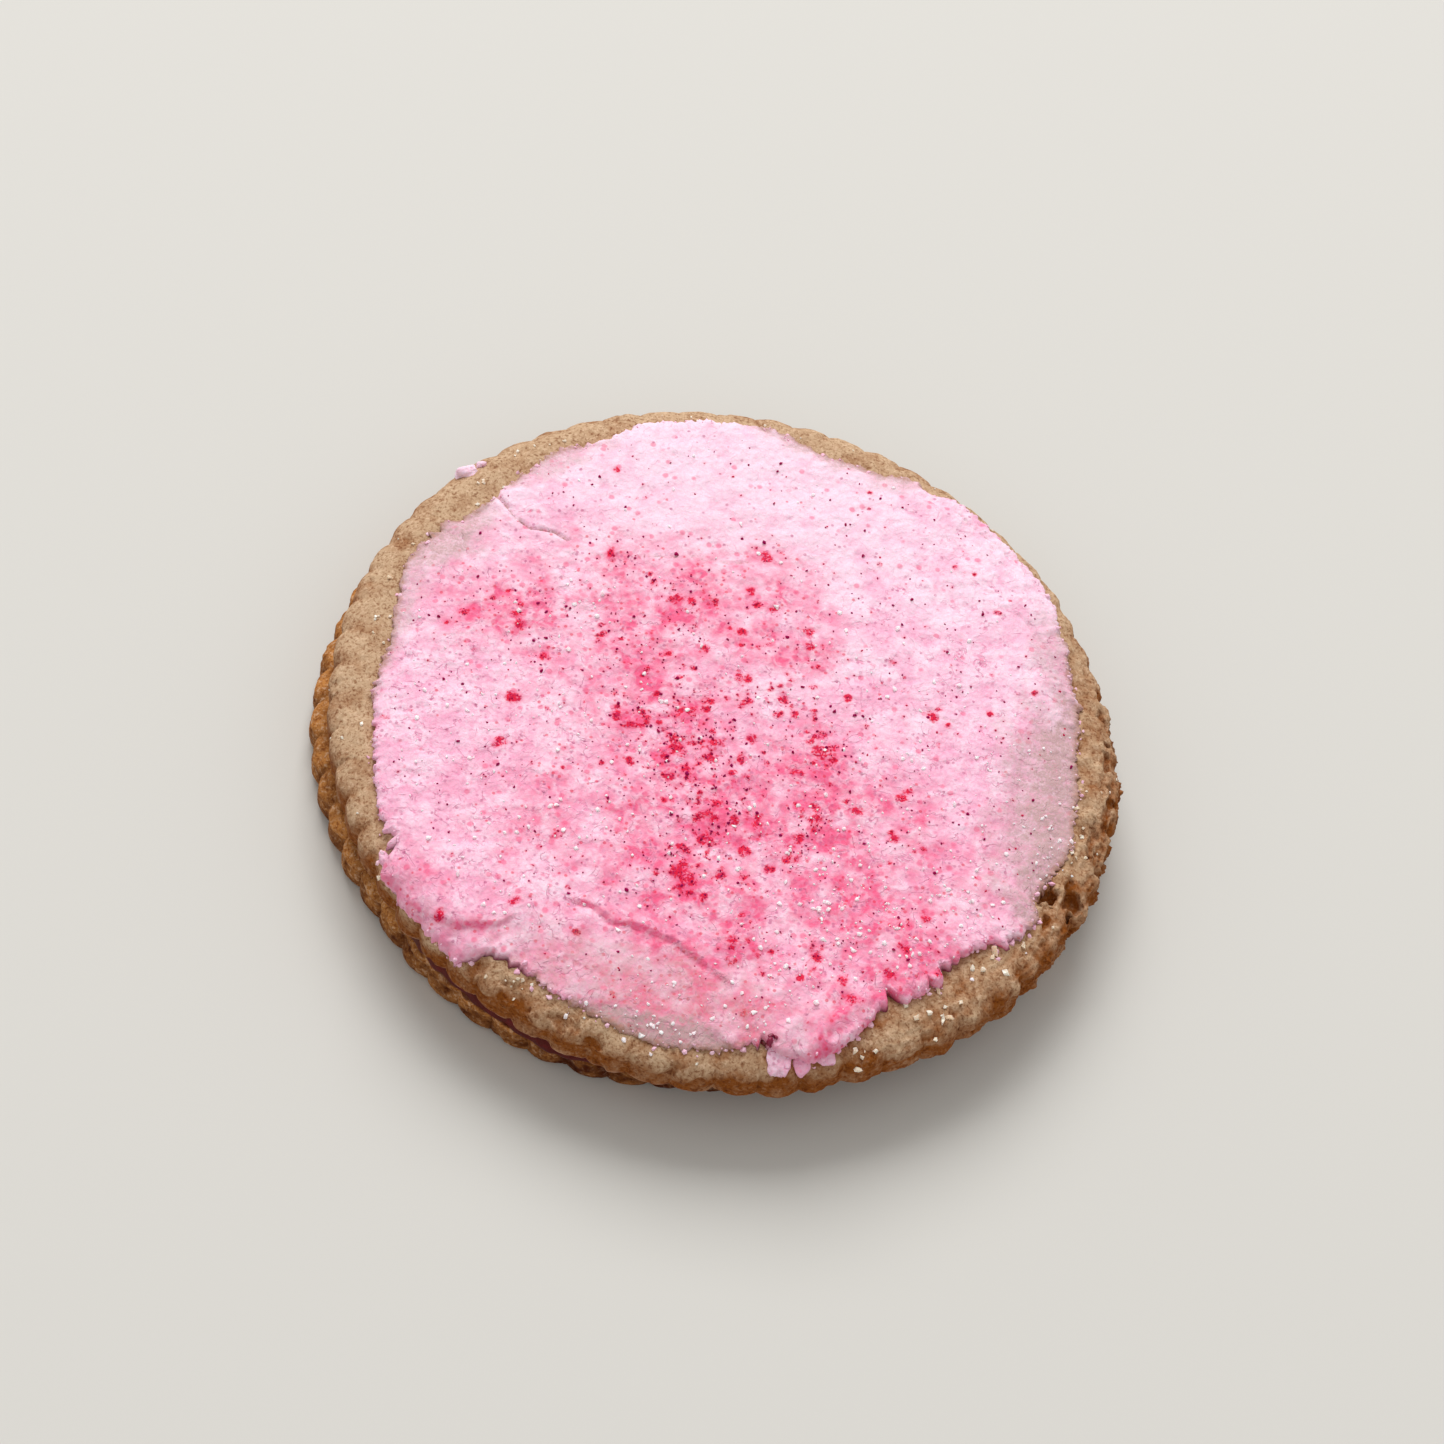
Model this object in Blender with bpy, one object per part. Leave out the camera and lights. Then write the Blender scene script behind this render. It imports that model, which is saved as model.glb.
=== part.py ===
"""Belgian biscuit: two scalloped spiced biscuits with jam between them, the top one iced in pink.

It lies flat, icing up, with its footprint centred on the origin and its underside at z = 0.
Angles are counted from +X towards +Y, and the side that the photograph shows nearest is -Y.
Run it with blender --background --python part.py, or from the text editor.
"""

import math
import random
from collections import namedtuple

import bmesh
import bpy
from mathutils import Euler, Matrix, Vector, noise
from mathutils.bvhtree import BVHTree

MM = 0.001

# Driving dimensions
BISCUIT_THICKNESS = 3.8 * MM
JAM_THICKNESS = 0.7 * MM
ICING_THICKNESS = 0.75 * MM
CLEARANCE = 0.2 * MM  # between neighbours, so that no two solids touch

# The cutter's scalloped edge
SCALLOPS = 61
STEPS_PER_SCALLOP = 4
STEPS = SCALLOPS * STEPS_PER_SCALLOP
LOBE_ROUNDNESS = 0.7  # under 1 makes full lobes that meet in a sharp valley
LOBE_UNEVENNESS = 0.35  # share by which one lobe's depth differs from the next
RIM_REACH = 4.5 * MM  # how far in from the edge the biscuit is out of round
CRAG_REACH = 3.2 * MM  # how far in from the edge the rim is broken up

# How many lumps of noise lie along a radius: a higher number makes finer relief round the edge
FLAKES, DENTS = 26.0, 9.0
TEETH, TONGUES = 40.0, 17.0
JAM_SWELLS, LOBE_SWELLS = 6.0, 7.0
KNIFE_STROKE = 4.0 * MM  # size of the swells that the knife left in the icing

# The jam stops short of the biscuits' edges, and the icing short of the top one's
JAM_SET_BACK = 1.1 * MM
JAM_WAVE = 0.5 * MM
ICING_REACH = 30.9 * MM
ICING_TEETH = 0.3 * MM
ICING_RELIEF = 0.12 * MM
THINNEST_ICING = 0.3 * MM
RIM_SPARE = 0.1 * MM  # biscuit that is left bare outside the icing's furthest tongue

# Jelly crystals and sugar grains that are large enough to stand out of the icing
GRAIN_COUNT = 60
GRAIN_RADIUS = (0.26 * MM, 0.38 * MM)
GRAIN_SPACING = 2.0 * MM
GRAIN_SPREAD = 13.0 * MM  # most lie round the middle, where the red is strongest
GRAIN_LIMIT = 27.0 * MM
GRAIN_SEED = 5

Wave = namedtuple("Wave", "count crest_deg height")
Pit = namedtuple("Pit", "at_deg inwards half_width depth")
Bulge = namedtuple("Bulge", "at_deg half_width_deg reach steepness")
Layer = namedtuple("Layer", "x y half_length half_width change")
Biscuit = namedtuple(
    "Biscuit",
    "name centre radius base waves bulges first_lobe_deg lobe_depth lobe_reach soft_side crag pits shoulder lip seed",
)
# Lobe reach is how far in from the edge the scallops still show.
# Shoulder and lip are (width, height) of the rounding above the wall and below it.
# Soft side is (direction, half angle, share of the lobe depth that is left there).
# Crag is (direction, half angle, depth) of the broken, flaky stretch of the rim.

BOTTOM_BISCUIT = Biscuit(
    name="bottom_biscuit",
    centre=(0.14 * MM, 0.82 * MM),
    radius=34.6 * MM,
    base=0.0,
    waves=(Wave(2, 1, 0.26 * MM), Wave(3, 35, 0.24 * MM)),
    bulges=(
        Bulge(190.0, 14.0, 0.4 * MM, 2),
        Bulge(221.0, 10.0, -0.25 * MM, 2),
        Bulge(294.0, 30.0, -1.5 * MM, 4),
    ),
    first_lobe_deg=1.55,
    lobe_depth=0.75 * MM,
    lobe_reach=2.2 * MM,
    soft_side=(245, 35, 0.6),
    crag=(350, 40, 0.25 * MM),
    pits=(),
    shoulder=(1.9 * MM, 1.2 * MM),
    lip=(0.8 * MM, 0.5 * MM),
    seed=2,
)
TOP_BISCUIT = Biscuit(
    name="top_biscuit",
    centre=(0.54 * MM, -0.28 * MM),
    radius=34.45 * MM,
    base=BISCUIT_THICKNESS + JAM_THICKNESS + 2 * CLEARANCE,
    waves=(Wave(2, -56, 0.57 * MM), Wave(3, 27, 0.09 * MM)),
    bulges=(Bulge(0.0, 9.0, 0.3 * MM, 2), Bulge(25.0, 9.0, -0.35 * MM, 2), Bulge(303.0, 9.0, -0.3 * MM, 2)),
    first_lobe_deg=3.6,
    lobe_depth=0.45 * MM,
    lobe_reach=1.8 * MM,
    soft_side=(150, 60, 0.8),
    crag=(352, 42, 0.5 * MM),
    pits=(
        Pit(339.5, 2.6 * MM, 0.9 * MM, 1.3 * MM),
        Pit(345.0, 1.2 * MM, 0.6 * MM, 0.7 * MM),
        Pit(334.0, 0.9 * MM, 0.7 * MM, 0.6 * MM),
        Pit(12.0, 1.0 * MM, 0.7 * MM, 0.5 * MM),
    ),
    shoulder=(3.4 * MM, 1.7 * MM),
    lip=(0.4 * MM, 0.15 * MM),
    seed=7,
)

# Where the icing reaches further out than its mean circle, or falls short of it.
# Steepness 2 is a soft bell, and higher numbers give it a flat top and sheer sides.
ICING_BULGES = (
    Bulge(27.0, 3.0, 0.85 * MM, 2),
    Bulge(47.0, 16.0, 1.6 * MM, 8),
    Bulge(68.0, 3.4, 1.2 * MM, 2),
    Bulge(102.5, 15.5, 1.45 * MM, 6),
    Bulge(127.4, 5.8, 0.75 * MM, 2),
    Bulge(145.0, 7.0, -0.8 * MM, 2),
    Bulge(153.0, 1.3, 0.7 * MM, 2),
    Bulge(161.0, 6.5, 0.6 * MM, 4),
    Bulge(180.0, 9.0, -1.2 * MM, 2),
    Bulge(196.0, 3.9, -0.7 * MM, 2),
    Bulge(214.3, 5.7, 1.0 * MM, 2),
    Bulge(230.2, 10.4, 3.0 * MM, 12),
    Bulge(247.0, 6.0, -0.65 * MM, 2),
    Bulge(265.0, 28.8, 1.35 * MM, 6),
    Bulge(272.0, 9.5, 1.1 * MM, 2),
    Bulge(286.3, 1.3, 1.2 * MM, 4),
    Bulge(291.0, 5.2, 0.6 * MM, 8),
    Bulge(293.4, 7.9, 1.8 * MM, 6),
    Bulge(309.0, 2.4, 0.5 * MM, 2),
    Bulge(319.5, 5.5, -0.8 * MM, 2),
    Bulge(331.0, 4.5, 1.25 * MM, 6),
    Bulge(348.0, 4.5, 0.6 * MM, 2),
    Bulge(5.0, 6.0, -0.5 * MM, 2),
)

# Where the jam has been pressed out to the biscuits' edges, and where it stays back with the lower one
JAM_BULGES = (Bulge(238.0, 27.0, 1.0 * MM, 6), Bulge(294.0, 30.0, -1.5 * MM, 4))

# Patches where the icing lies thicker or thinner than elsewhere, measured from the top biscuit's centre.
ICING_LAYERS = (
    Layer(-2.0 * MM, -28.0 * MM, 13.0 * MM, 4.5 * MM, -0.30 * MM),
    Layer(28.0 * MM, -3.0 * MM, 3.0 * MM, 10.0 * MM, -0.35 * MM),
    Layer(-18.5 * MM, -22.5 * MM, 6.0 * MM, 4.0 * MM, 0.25 * MM),
    Layer(11.0 * MM, -28.0 * MM, 5.0 * MM, 4.0 * MM, 0.20 * MM),
    Layer(20.0 * MM, -20.0 * MM, 5.0 * MM, 3.0 * MM, 0.20 * MM),
)


def clear_scene():
    """Start from an empty scene."""
    for leftover in list(bpy.data.objects):
        bpy.data.objects.remove(leftover, do_unlink=True)


def collection(name, shown=True):
    """A new collection in the scene, left out of renders unless it is shown."""
    made = bpy.data.collections.new(name)
    made.hide_render = not shown
    bpy.context.scene.collection.children.link(made)
    return made


def material(name, colour, roughness):
    """A plain food surface with the colour that the piece has overall."""
    made = bpy.data.materials.new(name)
    made.use_nodes = True
    shader = made.node_tree.nodes["Principled BSDF"]
    shader.inputs["Base Color"].default_value = (*colour, 1.0)
    shader.inputs["Roughness"].default_value = roughness
    shader.inputs["Metallic"].default_value = 0.0
    return made


def object_from(bm, name, finish, home):
    """Turn a bmesh into a smooth-shaded object in the collection, its normals facing out."""
    bmesh.ops.recalc_face_normals(bm, faces=bm.faces)
    mesh = bpy.data.meshes.new(name)
    bm.to_mesh(mesh)
    bm.free()
    mesh.shade_smooth()
    mesh.set_sharp_from_angle(angle=math.radians(50))
    mesh.materials.append(finish)
    made = bpy.data.objects.new(name, mesh)
    home.objects.link(made)
    return made


def turned(profile, steps, start_deg):
    """Spin a profile of (radius, height) pairs round Z, and close it with a fan at each end."""
    bm = bmesh.new()
    start = math.radians(start_deg)
    points = [
        bm.verts.new((radius * math.cos(start), radius * math.sin(start), height))
        for radius, height in profile
    ]
    edges = [bm.edges.new(pair) for pair in zip(points, points[1:])]
    bmesh.ops.spin(
        bm,
        geom=points + edges,
        cent=(0, 0, 0),
        axis=(0, 0, 1),
        angle=math.tau,
        steps=steps,
        use_merge=True,
    )
    bmesh.ops.remove_doubles(bm, verts=bm.verts, dist=1e-6)
    caps = bmesh.ops.holes_fill(bm, edges=bm.edges, sides=steps)["faces"]
    bmesh.ops.poke(bm, faces=caps)
    return bm


def angle_between(theta, degrees):
    """The smaller angle from theta (radians) to a direction in degrees, in degrees and signed."""
    return (math.degrees(theta) - degrees + 180.0) % 360.0 - 180.0


def ring_noise(theta, detail, seed, height=0.0):
    """Noise from about -1 to 1 that closes on itself round a circle."""
    return noise.noise(Vector((math.cos(theta) * detail, math.sin(theta) * detail, seed * 9.7 + height)))


def bell(distance, half_width):
    """1 at the middle, fading smoothly to nothing."""
    return math.exp(-((distance / half_width) ** 2))


def plateau(distance, half_width, steepness=6):
    """1 across the middle, with a steeper fall at its sides than a bell has."""
    return math.exp(-(min(2.0, abs(distance) / half_width) ** steepness))


def swell(bulge, theta):
    """How far a bulge moves an edge at this angle."""
    return bulge.reach * plateau(angle_between(theta, bulge.at_deg), bulge.half_width_deg, bulge.steepness)


def grip(inwards, reach):
    """How much of an edge's relief is left this far in from it: all at the edge and none past its reach."""
    return min(1.0, max(0.0, 1.0 - inwards / reach))


def lobe_height(biscuit, theta):
    """How far the scalloped edge stands out of its mean circle at this angle."""
    turn = angle_between(theta, biscuit.first_lobe_deg) / 360.0 * SCALLOPS
    crest = round(turn)
    lobe = abs(math.cos(math.pi * (turn - crest))) ** LOBE_ROUNDNESS
    crest_angle = math.tau * crest / SCALLOPS
    uneven = 1.0 + LOBE_UNEVENNESS * ring_noise(crest_angle, LOBE_SWELLS, biscuit.seed)
    direction, half_angle, left = biscuit.soft_side
    softened = 1.0 - (1.0 - left) * bell(angle_between(theta, direction), half_angle)
    return biscuit.lobe_depth * uneven * softened * (lobe - 0.5)


def edge_radius(biscuit, theta):
    """The biscuit's mean edge at this angle, out of round as it was baked."""
    out_of_round = sum(
        wave.height * math.cos(wave.count * math.radians(angle_between(theta, wave.crest_deg)))
        for wave in biscuit.waves
    )
    return biscuit.radius + out_of_round + sum(swell(bulge, theta) for bulge in biscuit.bulges)


def crag_depth(biscuit, theta, height):
    """Relief of the rim: slight all round, and broken into upright flakes on one side."""
    direction, half_angle, depth = biscuit.crag
    broken = bell(angle_between(theta, direction), half_angle)
    flakes = ring_noise(theta, FLAKES, biscuit.seed + 1, height / (2.2 * MM))
    dents = ring_noise(theta, DENTS, biscuit.seed + 2, height / (3.0 * MM))
    return depth * (0.25 + broken) * (0.8 * flakes + 0.5 * dents)


def shoulder_drop(biscuit, inwards):
    """How far the rounded shoulder lies below the flat top, this far in from the edge."""
    width, height = biscuit.shoulder
    share = grip(inwards, width)
    return height * (1.0 - math.sqrt(1.0 - share * share))


def pit_depth(biscuit, theta, inwards):
    """Depth of the cracks and broken-out crumbs at this place on the top."""
    depth = 0.0
    for pit in biscuit.pits:
        along = math.radians(angle_between(theta, pit.at_deg)) * biscuit.radius
        depth += pit.depth * bell(math.hypot(along, inwards - pit.inwards), pit.half_width)
    return depth


def biscuit_profile(biscuit):
    """The turned profile from the underside up to the flat top, as (radius, height)."""
    radius, base = biscuit.radius, biscuit.base
    top = base + BISCUIT_THICKNESS
    lip_width, lip_height = biscuit.lip
    width, height = biscuit.shoulder
    wall = [
        (radius - lip_width, base),
        (radius - 0.2 * lip_width, base + 0.6 * lip_height),
        (radius, base + 2.0 * lip_height),
        (radius, top - height),
    ]
    rounding = [share * width for share in (0.07, 0.3, 1.0)]
    shoulder = [(radius - inwards, top - shoulder_drop(biscuit, inwards)) for inwards in rounding]
    return wall + shoulder


def shape_biscuit(bm, biscuit):
    """Push the turned disc out of round, scallop its edge and break up its rim."""
    top = biscuit.base + BISCUIT_THICKNESS
    for vert in bm.verts:
        radius = math.hypot(vert.co.x, vert.co.y)
        inwards = biscuit.radius - radius
        if inwards > RIM_REACH:
            continue
        theta = math.atan2(vert.co.y, vert.co.x)
        height = vert.co.z
        radius += edge_radius(biscuit, theta) - biscuit.radius
        radius += grip(inwards, biscuit.lobe_reach) * lobe_height(biscuit, theta)
        radius += grip(inwards, CRAG_REACH) * crag_depth(biscuit, theta, height)
        if height > top - biscuit.shoulder[1]:
            height -= pit_depth(biscuit, theta, inwards)
        vert.co = Vector((radius * math.cos(theta), radius * math.sin(theta), height))


def make_biscuit(biscuit, finish, home):
    """One scalloped biscuit with a flat underside and a rounded shoulder."""
    bm = turned(biscuit_profile(biscuit), STEPS, biscuit.first_lobe_deg)
    shape_biscuit(bm, biscuit)
    bm.transform(Matrix.Translation((*biscuit.centre, 0.0)))
    return object_from(bm, biscuit.name, finish, home)


def make_jam(finish, home):
    """The spread jam: a thin disc between the biscuits with a wavy, rounded edge."""
    bottom, top = BOTTOM_BISCUIT, TOP_BISCUIT
    centre = (Vector(bottom.centre) + Vector(top.centre)) / 2
    base = BISCUIT_THICKNESS + CLEARANCE
    radius = min(bottom.radius, top.radius) - JAM_SET_BACK
    bulge = JAM_THICKNESS / 2
    profile = [(radius - bulge, base), (radius, base + bulge), (radius - bulge, base + JAM_THICKNESS)]
    bm = turned(profile, STEPS // 2, 0.0)
    for vert in bm.verts:
        reach = math.hypot(vert.co.x, vert.co.y)
        if reach < radius / 2:
            continue
        theta = math.atan2(vert.co.y, vert.co.x)
        further = JAM_WAVE * ring_noise(theta, JAM_SWELLS, 4) + edge_radius(top, theta) - top.radius
        further += sum(swell(bulge, theta) for bulge in JAM_BULGES)
        vert.co.x += further * math.cos(theta)
        vert.co.y += further * math.sin(theta)
    bm.transform(Matrix.Translation((*centre, 0.0)))
    return object_from(bm, "jam_filling", finish, home)


def icing_edge(theta):
    """How far the icing reaches from the top biscuit's centre at this angle."""
    reach = ICING_REACH + sum(swell(bulge, theta) for bulge in ICING_BULGES)
    reach += ICING_TEETH * (ring_noise(theta, TEETH, 11) + 0.6 * ring_noise(theta, TONGUES, 12))
    return min(reach, edge_radius(TOP_BISCUIT, theta) + lobe_height(TOP_BISCUIT, theta) - RIM_SPARE)


def bed_height(x, y):
    """The top biscuit's surface under a point of the icing, measured from the biscuit's centre."""
    theta, radius = math.atan2(y, x), math.hypot(x, y)
    edge = edge_radius(TOP_BISCUIT, theta)
    edge += lobe_height(TOP_BISCUIT, theta) * grip(edge - radius, TOP_BISCUIT.lobe_reach)
    return TOP_BISCUIT.base + BISCUIT_THICKNESS - shoulder_drop(TOP_BISCUIT, edge - radius)


def icing_thickness(x, y):
    """The icing's thickness here: knife strokes, thin translucent patches and thick lobes."""
    thickness = ICING_THICKNESS
    for layer in ICING_LAYERS:
        along, across = (x - layer.x) / layer.half_length, (y - layer.y) / layer.half_width
        thickness += layer.change * plateau(math.hypot(along, across), 1.0)
    thickness += ICING_RELIEF * noise.noise(Vector((x, y, 0.0)) / KNIFE_STROKE)
    return max(THINNEST_ICING, thickness)


def icing_profile():
    """The turned profile of the icing before it is laid on the biscuit: its heights are shares of the thickness."""
    edge = ICING_REACH
    under = [(edge - 3.6 * MM, 0.0), (edge - 1.3 * MM, 0.0), (edge - 0.25 * MM, 0.0)]
    over = [(edge, 0.45), (edge - 0.3 * MM, 0.9), (edge - 2.2 * MM, 1.0), (edge - 8.0 * MM, 1.0)]
    return under + over


def lay_icing(bm):
    """Give the icing its ragged outline and drape it over the top biscuit's shoulder."""
    for vert in bm.verts:
        share = vert.co.z
        theta, radius = math.atan2(vert.co.y, vert.co.x), math.hypot(vert.co.x, vert.co.y)
        pull = max(0.0, 1.0 - (ICING_REACH - radius) / (8.0 * MM))
        radius += pull * (icing_edge(theta) - ICING_REACH)
        x, y = radius * math.cos(theta), radius * math.sin(theta)
        height = bed_height(x, y) + CLEARANCE + share * icing_thickness(x, y)
        vert.co = Vector((x, y, height))


def refine_icing_top(bm):
    """Cut the flat middle of the icing into rings, so that it can carry the relief."""
    top = [face for face in bm.faces if len(face.verts) == 3 and face.calc_center_median().z > 0.5]
    spokes = {edge for face in top for edge in face.edges if any(v.co.xy.length < 1e-6 for v in edge.verts)}
    bmesh.ops.subdivide_edges(bm, edges=list(spokes), cuts=1, use_grid_fill=True)


def grain_places(rng):
    """Seeded places for the grains, spread evenly but closer together round the middle."""
    places = []
    while len(places) < GRAIN_COUNT:
        x, y = rng.gauss(0.0, GRAIN_SPREAD), rng.gauss(0.0, GRAIN_SPREAD)
        if math.hypot(x, y) > GRAIN_LIMIT:
            continue
        if all(math.hypot(x - px, y - py) > GRAIN_SPACING for px, py in places):
            places.append((x, y))
    return places


def make_grain(name, place, surface, rng, home):
    """A crystal with twenty small faces, half sunk in the icing."""
    radius = rng.uniform(*GRAIN_RADIUS)
    above = Vector((*place, 1.0))
    height = surface.ray_cast(above, Vector((0, 0, -1)))[0].z
    turn = Euler([rng.uniform(0, math.tau) for _ in range(3)]).to_matrix().to_4x4()
    stretch = Matrix.Diagonal((1.0, rng.uniform(0.7, 1.0), rng.uniform(0.8, 1.0), 1.0))
    bm = bmesh.new()
    bmesh.ops.create_icosphere(
        bm,
        subdivisions=1,
        radius=radius,
        matrix=Matrix.Translation((*place, height + 0.15 * radius)) @ turn @ stretch,
    )
    mesh = bpy.data.meshes.new(name)
    bm.to_mesh(mesh)
    bm.free()
    home.objects.link(bpy.data.objects.new(name, mesh))


def fuse_grains(icing, grains):
    """Join every grain to the icing in one union, then remove the grains."""
    join = icing.modifiers.new("grains", "BOOLEAN")
    join.operation = "UNION"
    join.solver = "MANIFOLD"
    join.operand_type = "COLLECTION"
    join.collection = grains
    bpy.context.view_layer.update()
    fused = bpy.data.meshes.new_from_object(icing.evaluated_get(bpy.context.evaluated_depsgraph_get()))
    icing.modifiers.remove(join)
    icing.data = fused
    for grain in list(grains.objects):
        bpy.data.objects.remove(grain, do_unlink=True)
    bpy.data.collections.remove(grains)


def make_icing(finish, home):
    """The spread icing, with its crumbly edge, its lobes and the grains that stand out of it."""
    bm = turned(icing_profile(), STEPS, TOP_BISCUIT.first_lobe_deg)
    refine_icing_top(bm)
    lay_icing(bm)
    bm.transform(Matrix.Translation((*TOP_BISCUIT.centre, 0.0)))
    bm.normal_update()
    surface = BVHTree.FromBMesh(bm)
    icing = object_from(bm, "icing", finish, home)
    rng = random.Random(GRAIN_SEED)
    grains = collection("grains_to_fuse", shown=False)
    for index, place in enumerate(grain_places(rng)):
        make_grain(f"grain_{index}", place, surface, rng, grains)
    fuse_grains(icing, grains)
    return icing


def main():
    clear_scene()
    home = collection("belgian_biscuit")
    baked = material("spiced_biscuit", (0.42, 0.24, 0.13), 0.85)
    browned = material("browned_biscuit", (0.36, 0.17, 0.06), 0.8)
    jam = material("red_jam", (0.13, 0.01, 0.008), 0.25)
    pink = material("pink_icing", (0.89, 0.47, 0.62), 0.7)
    make_biscuit(BOTTOM_BISCUIT, browned, home)
    make_jam(jam, home)
    make_biscuit(TOP_BISCUIT, baked, home)
    make_icing(pink, home)


main()
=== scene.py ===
"""Belgian biscuit: the looks of two scalloped spiced biscuits with jam between them and pink icing on top.

The forms repeat the part's own named sizes and add what is finer than its solids: the baked crumb, the
broken rim, the crumbly icing with its torn edge, and the jelly crystals, sugar and crumbs strewn on it.
Lengths are in metres, except in the rows of numbers that say otherwise. Places on the icing are measured
from the top biscuit's centre.
"""

from __future__ import annotations

import logging
import math
import random
from dataclasses import dataclass, field
from enum import Enum

import bmesh
import bpy
from mathutils import Euler, Matrix, Vector, noise
from mathutils.bvhtree import BVHTree
from mathutils.kdtree import KDTree

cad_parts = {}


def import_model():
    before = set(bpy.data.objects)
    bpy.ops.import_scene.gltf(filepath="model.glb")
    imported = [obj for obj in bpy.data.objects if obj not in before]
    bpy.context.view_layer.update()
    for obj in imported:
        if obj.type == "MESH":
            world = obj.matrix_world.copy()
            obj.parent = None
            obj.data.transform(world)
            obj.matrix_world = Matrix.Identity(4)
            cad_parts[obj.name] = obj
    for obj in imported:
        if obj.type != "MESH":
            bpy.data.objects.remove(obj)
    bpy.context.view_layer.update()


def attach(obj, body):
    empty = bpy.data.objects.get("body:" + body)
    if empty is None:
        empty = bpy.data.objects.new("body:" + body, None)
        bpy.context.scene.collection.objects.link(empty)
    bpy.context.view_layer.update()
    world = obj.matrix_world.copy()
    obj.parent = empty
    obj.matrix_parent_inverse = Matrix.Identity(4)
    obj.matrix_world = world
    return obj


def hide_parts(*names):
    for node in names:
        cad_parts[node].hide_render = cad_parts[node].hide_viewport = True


log = logging.getLogger("belgian_biscuit")

MM = 0.001
BODY = "root"

# Sizes that the solids were made with
BISCUIT_THICKNESS = 3.8 * MM
JAM_THICKNESS = 0.7 * MM
ICING_THICKNESS = 0.75 * MM
CLEARANCE = 0.2 * MM
SCALLOPS = 61
LOBE_ROUNDNESS = 0.7
LOBE_UNEVENNESS = 0.35
RIM_REACH = 4.5 * MM
CRAG_REACH = 3.2 * MM
STEPS_PER_SCALLOP = 4
FINER = 6  # how many parts each step of a rim is cut into
CELL = 0.17 * MM  # spacing of the rings where a rim shows
QUARTER_LENGTH = 0.8  # about how long a quarter ellipse is, as a share of its two half axes
UNDER_RINGS = (26, 19, 13, 8, 5, 3, 1.8, 0.9, 0.4)  # rings of the underside, in millimetres from its edge
OVER_RINGS = (0.3, 0.7, 1.2, 2.0, 3.5, 7.0, 14.0, 22.0)  # rings of the flat top, likewise
SAME_PLACE = 1e-6  # places that are nearer than this count as one
DOWN = Vector((0, 0, -1))
HIGH = 1.0  # a height above everything, from which rays look down

Value = "float | tuple[float, ...] | Hue | bpy.types.NodeSocket"  # what can be fed to a socket


class Slot(Enum):
    """The record's material slots."""

    BOTTOM = "bottom_biscuit"
    JAM = "jam"
    TOP = "top_biscuit"
    ICING = "icing"


class Hue(Enum):
    """Colours of the food and the floor, as seen in soft daylight: red, green and blue from 0 to 255."""

    PALE_CRUST = (196, 164, 132)
    BROWN_CRUST = (140, 78, 26)
    LOWER_CRUST = (198, 134, 72)
    DARK_CRUST = (84, 32, 2)
    CRUMB_LIGHT = (228, 196, 166)
    CRUMB_SHADE = (176, 134, 102)
    LIP_HIGHLIGHT = (206, 160, 134)
    DEEP_JAM = (84, 14, 8)
    JAM_CLOT = (104, 16, 18)
    JAM_STAIN_AND_SHADE = (70, 14, 12)
    JAM_SEAM = (98, 56, 28)
    ICING_WHITE = (250, 217, 234)
    ICING_PINK = (244, 182, 209)
    ICING_CREASE = (232, 142, 178)
    ICING_MARK = (186, 84, 130)
    ICING_WASH = (238, 96, 138)
    ICING_RED = (224, 0, 56)
    ICING_MAGENTA = (172, 6, 84)
    CRUMB_PINK = (251, 208, 226)
    ICING_THIN = (198, 162, 164)
    ICING_BARE = (170, 128, 108)
    ICING_FOOT_SHADOW = (112, 22, 34)
    JELLY_LIGHT = (208, 0, 60)
    JELLY_DARK = (150, 8, 72)
    SPECK = (150, 18, 84)
    SUGAR = (255, 244, 246)
    SUGAR_SHADE = (255, 222, 230)
    GRAIN = (250, 234, 214)
    RIM_SUGAR = (228, 194, 162)
    FLOOR = (212, 210, 205)

    @property
    def linear(self) -> tuple[float, float, float, float]:
        """The colour as linear red, green, blue and full alpha."""
        return (*(((c / 255 + 0.055) / 1.055) ** 2.4 if c > 10 else c / 255 / 12.92 for c in self.value), 1.0)


# ---------------------------------------------------------------- forms that several pieces share


def table(kind: type, *rows: tuple[float, ...]) -> tuple:
    """Make one object from each row of numbers.

    Args:
        kind: the dataclass whose fields the numbers fill in order.
        rows: the numbers, with the fields that the kind names as its lengths in millimetres.

    Returns:
        The objects, with their lengths in metres.
    """
    sized = ((n * MM if place in kind.lengths else n for place, n in enumerate(row)) for row in rows)
    return tuple(kind(*row) for row in sized)


def polar(x: float, y: float) -> tuple[float, float]:
    """The direction and the distance of a place from the middle."""
    return math.atan2(y, x), math.hypot(x, y)


def turned(radius: float, theta: float, height: float = 0.0) -> Vector:
    """The place at this distance and direction from the middle and at this height."""
    return Vector((radius * math.cos(theta), radius * math.sin(theta), height))


def angle_between(theta: float, degrees: float) -> float:
    """The smaller signed angle in degrees from a direction in degrees to theta in radians."""
    return (math.degrees(theta) - degrees + 180.0) % 360.0 - 180.0


def ring_noise(theta: float, detail: float, seed: float, height: float = 0.0) -> float:
    """Noise from about -1 to 1 that closes on itself round a circle."""
    return noise.noise(turned(detail, theta, seed * 9.7 + height))


def lumps(place: Vector, size: float, seed: float) -> float:
    """Noise in space from about -1 to 1, with lumps of about this size."""
    return noise.noise(place / size + Vector((seed * 3.1, seed * 7.7, seed * 5.3)))


def bell(distance: float, half_width: float) -> float:
    """1 at the middle, fading smoothly to nothing."""
    return math.exp(-((distance / half_width) ** 2))


def plateau(distance: float, half_width: float, steepness: int = 6) -> float:
    """1 across the middle, with a steeper fall at its sides than a bell has."""
    return math.exp(-(min(2.0, abs(distance) / half_width) ** steepness))


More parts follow.
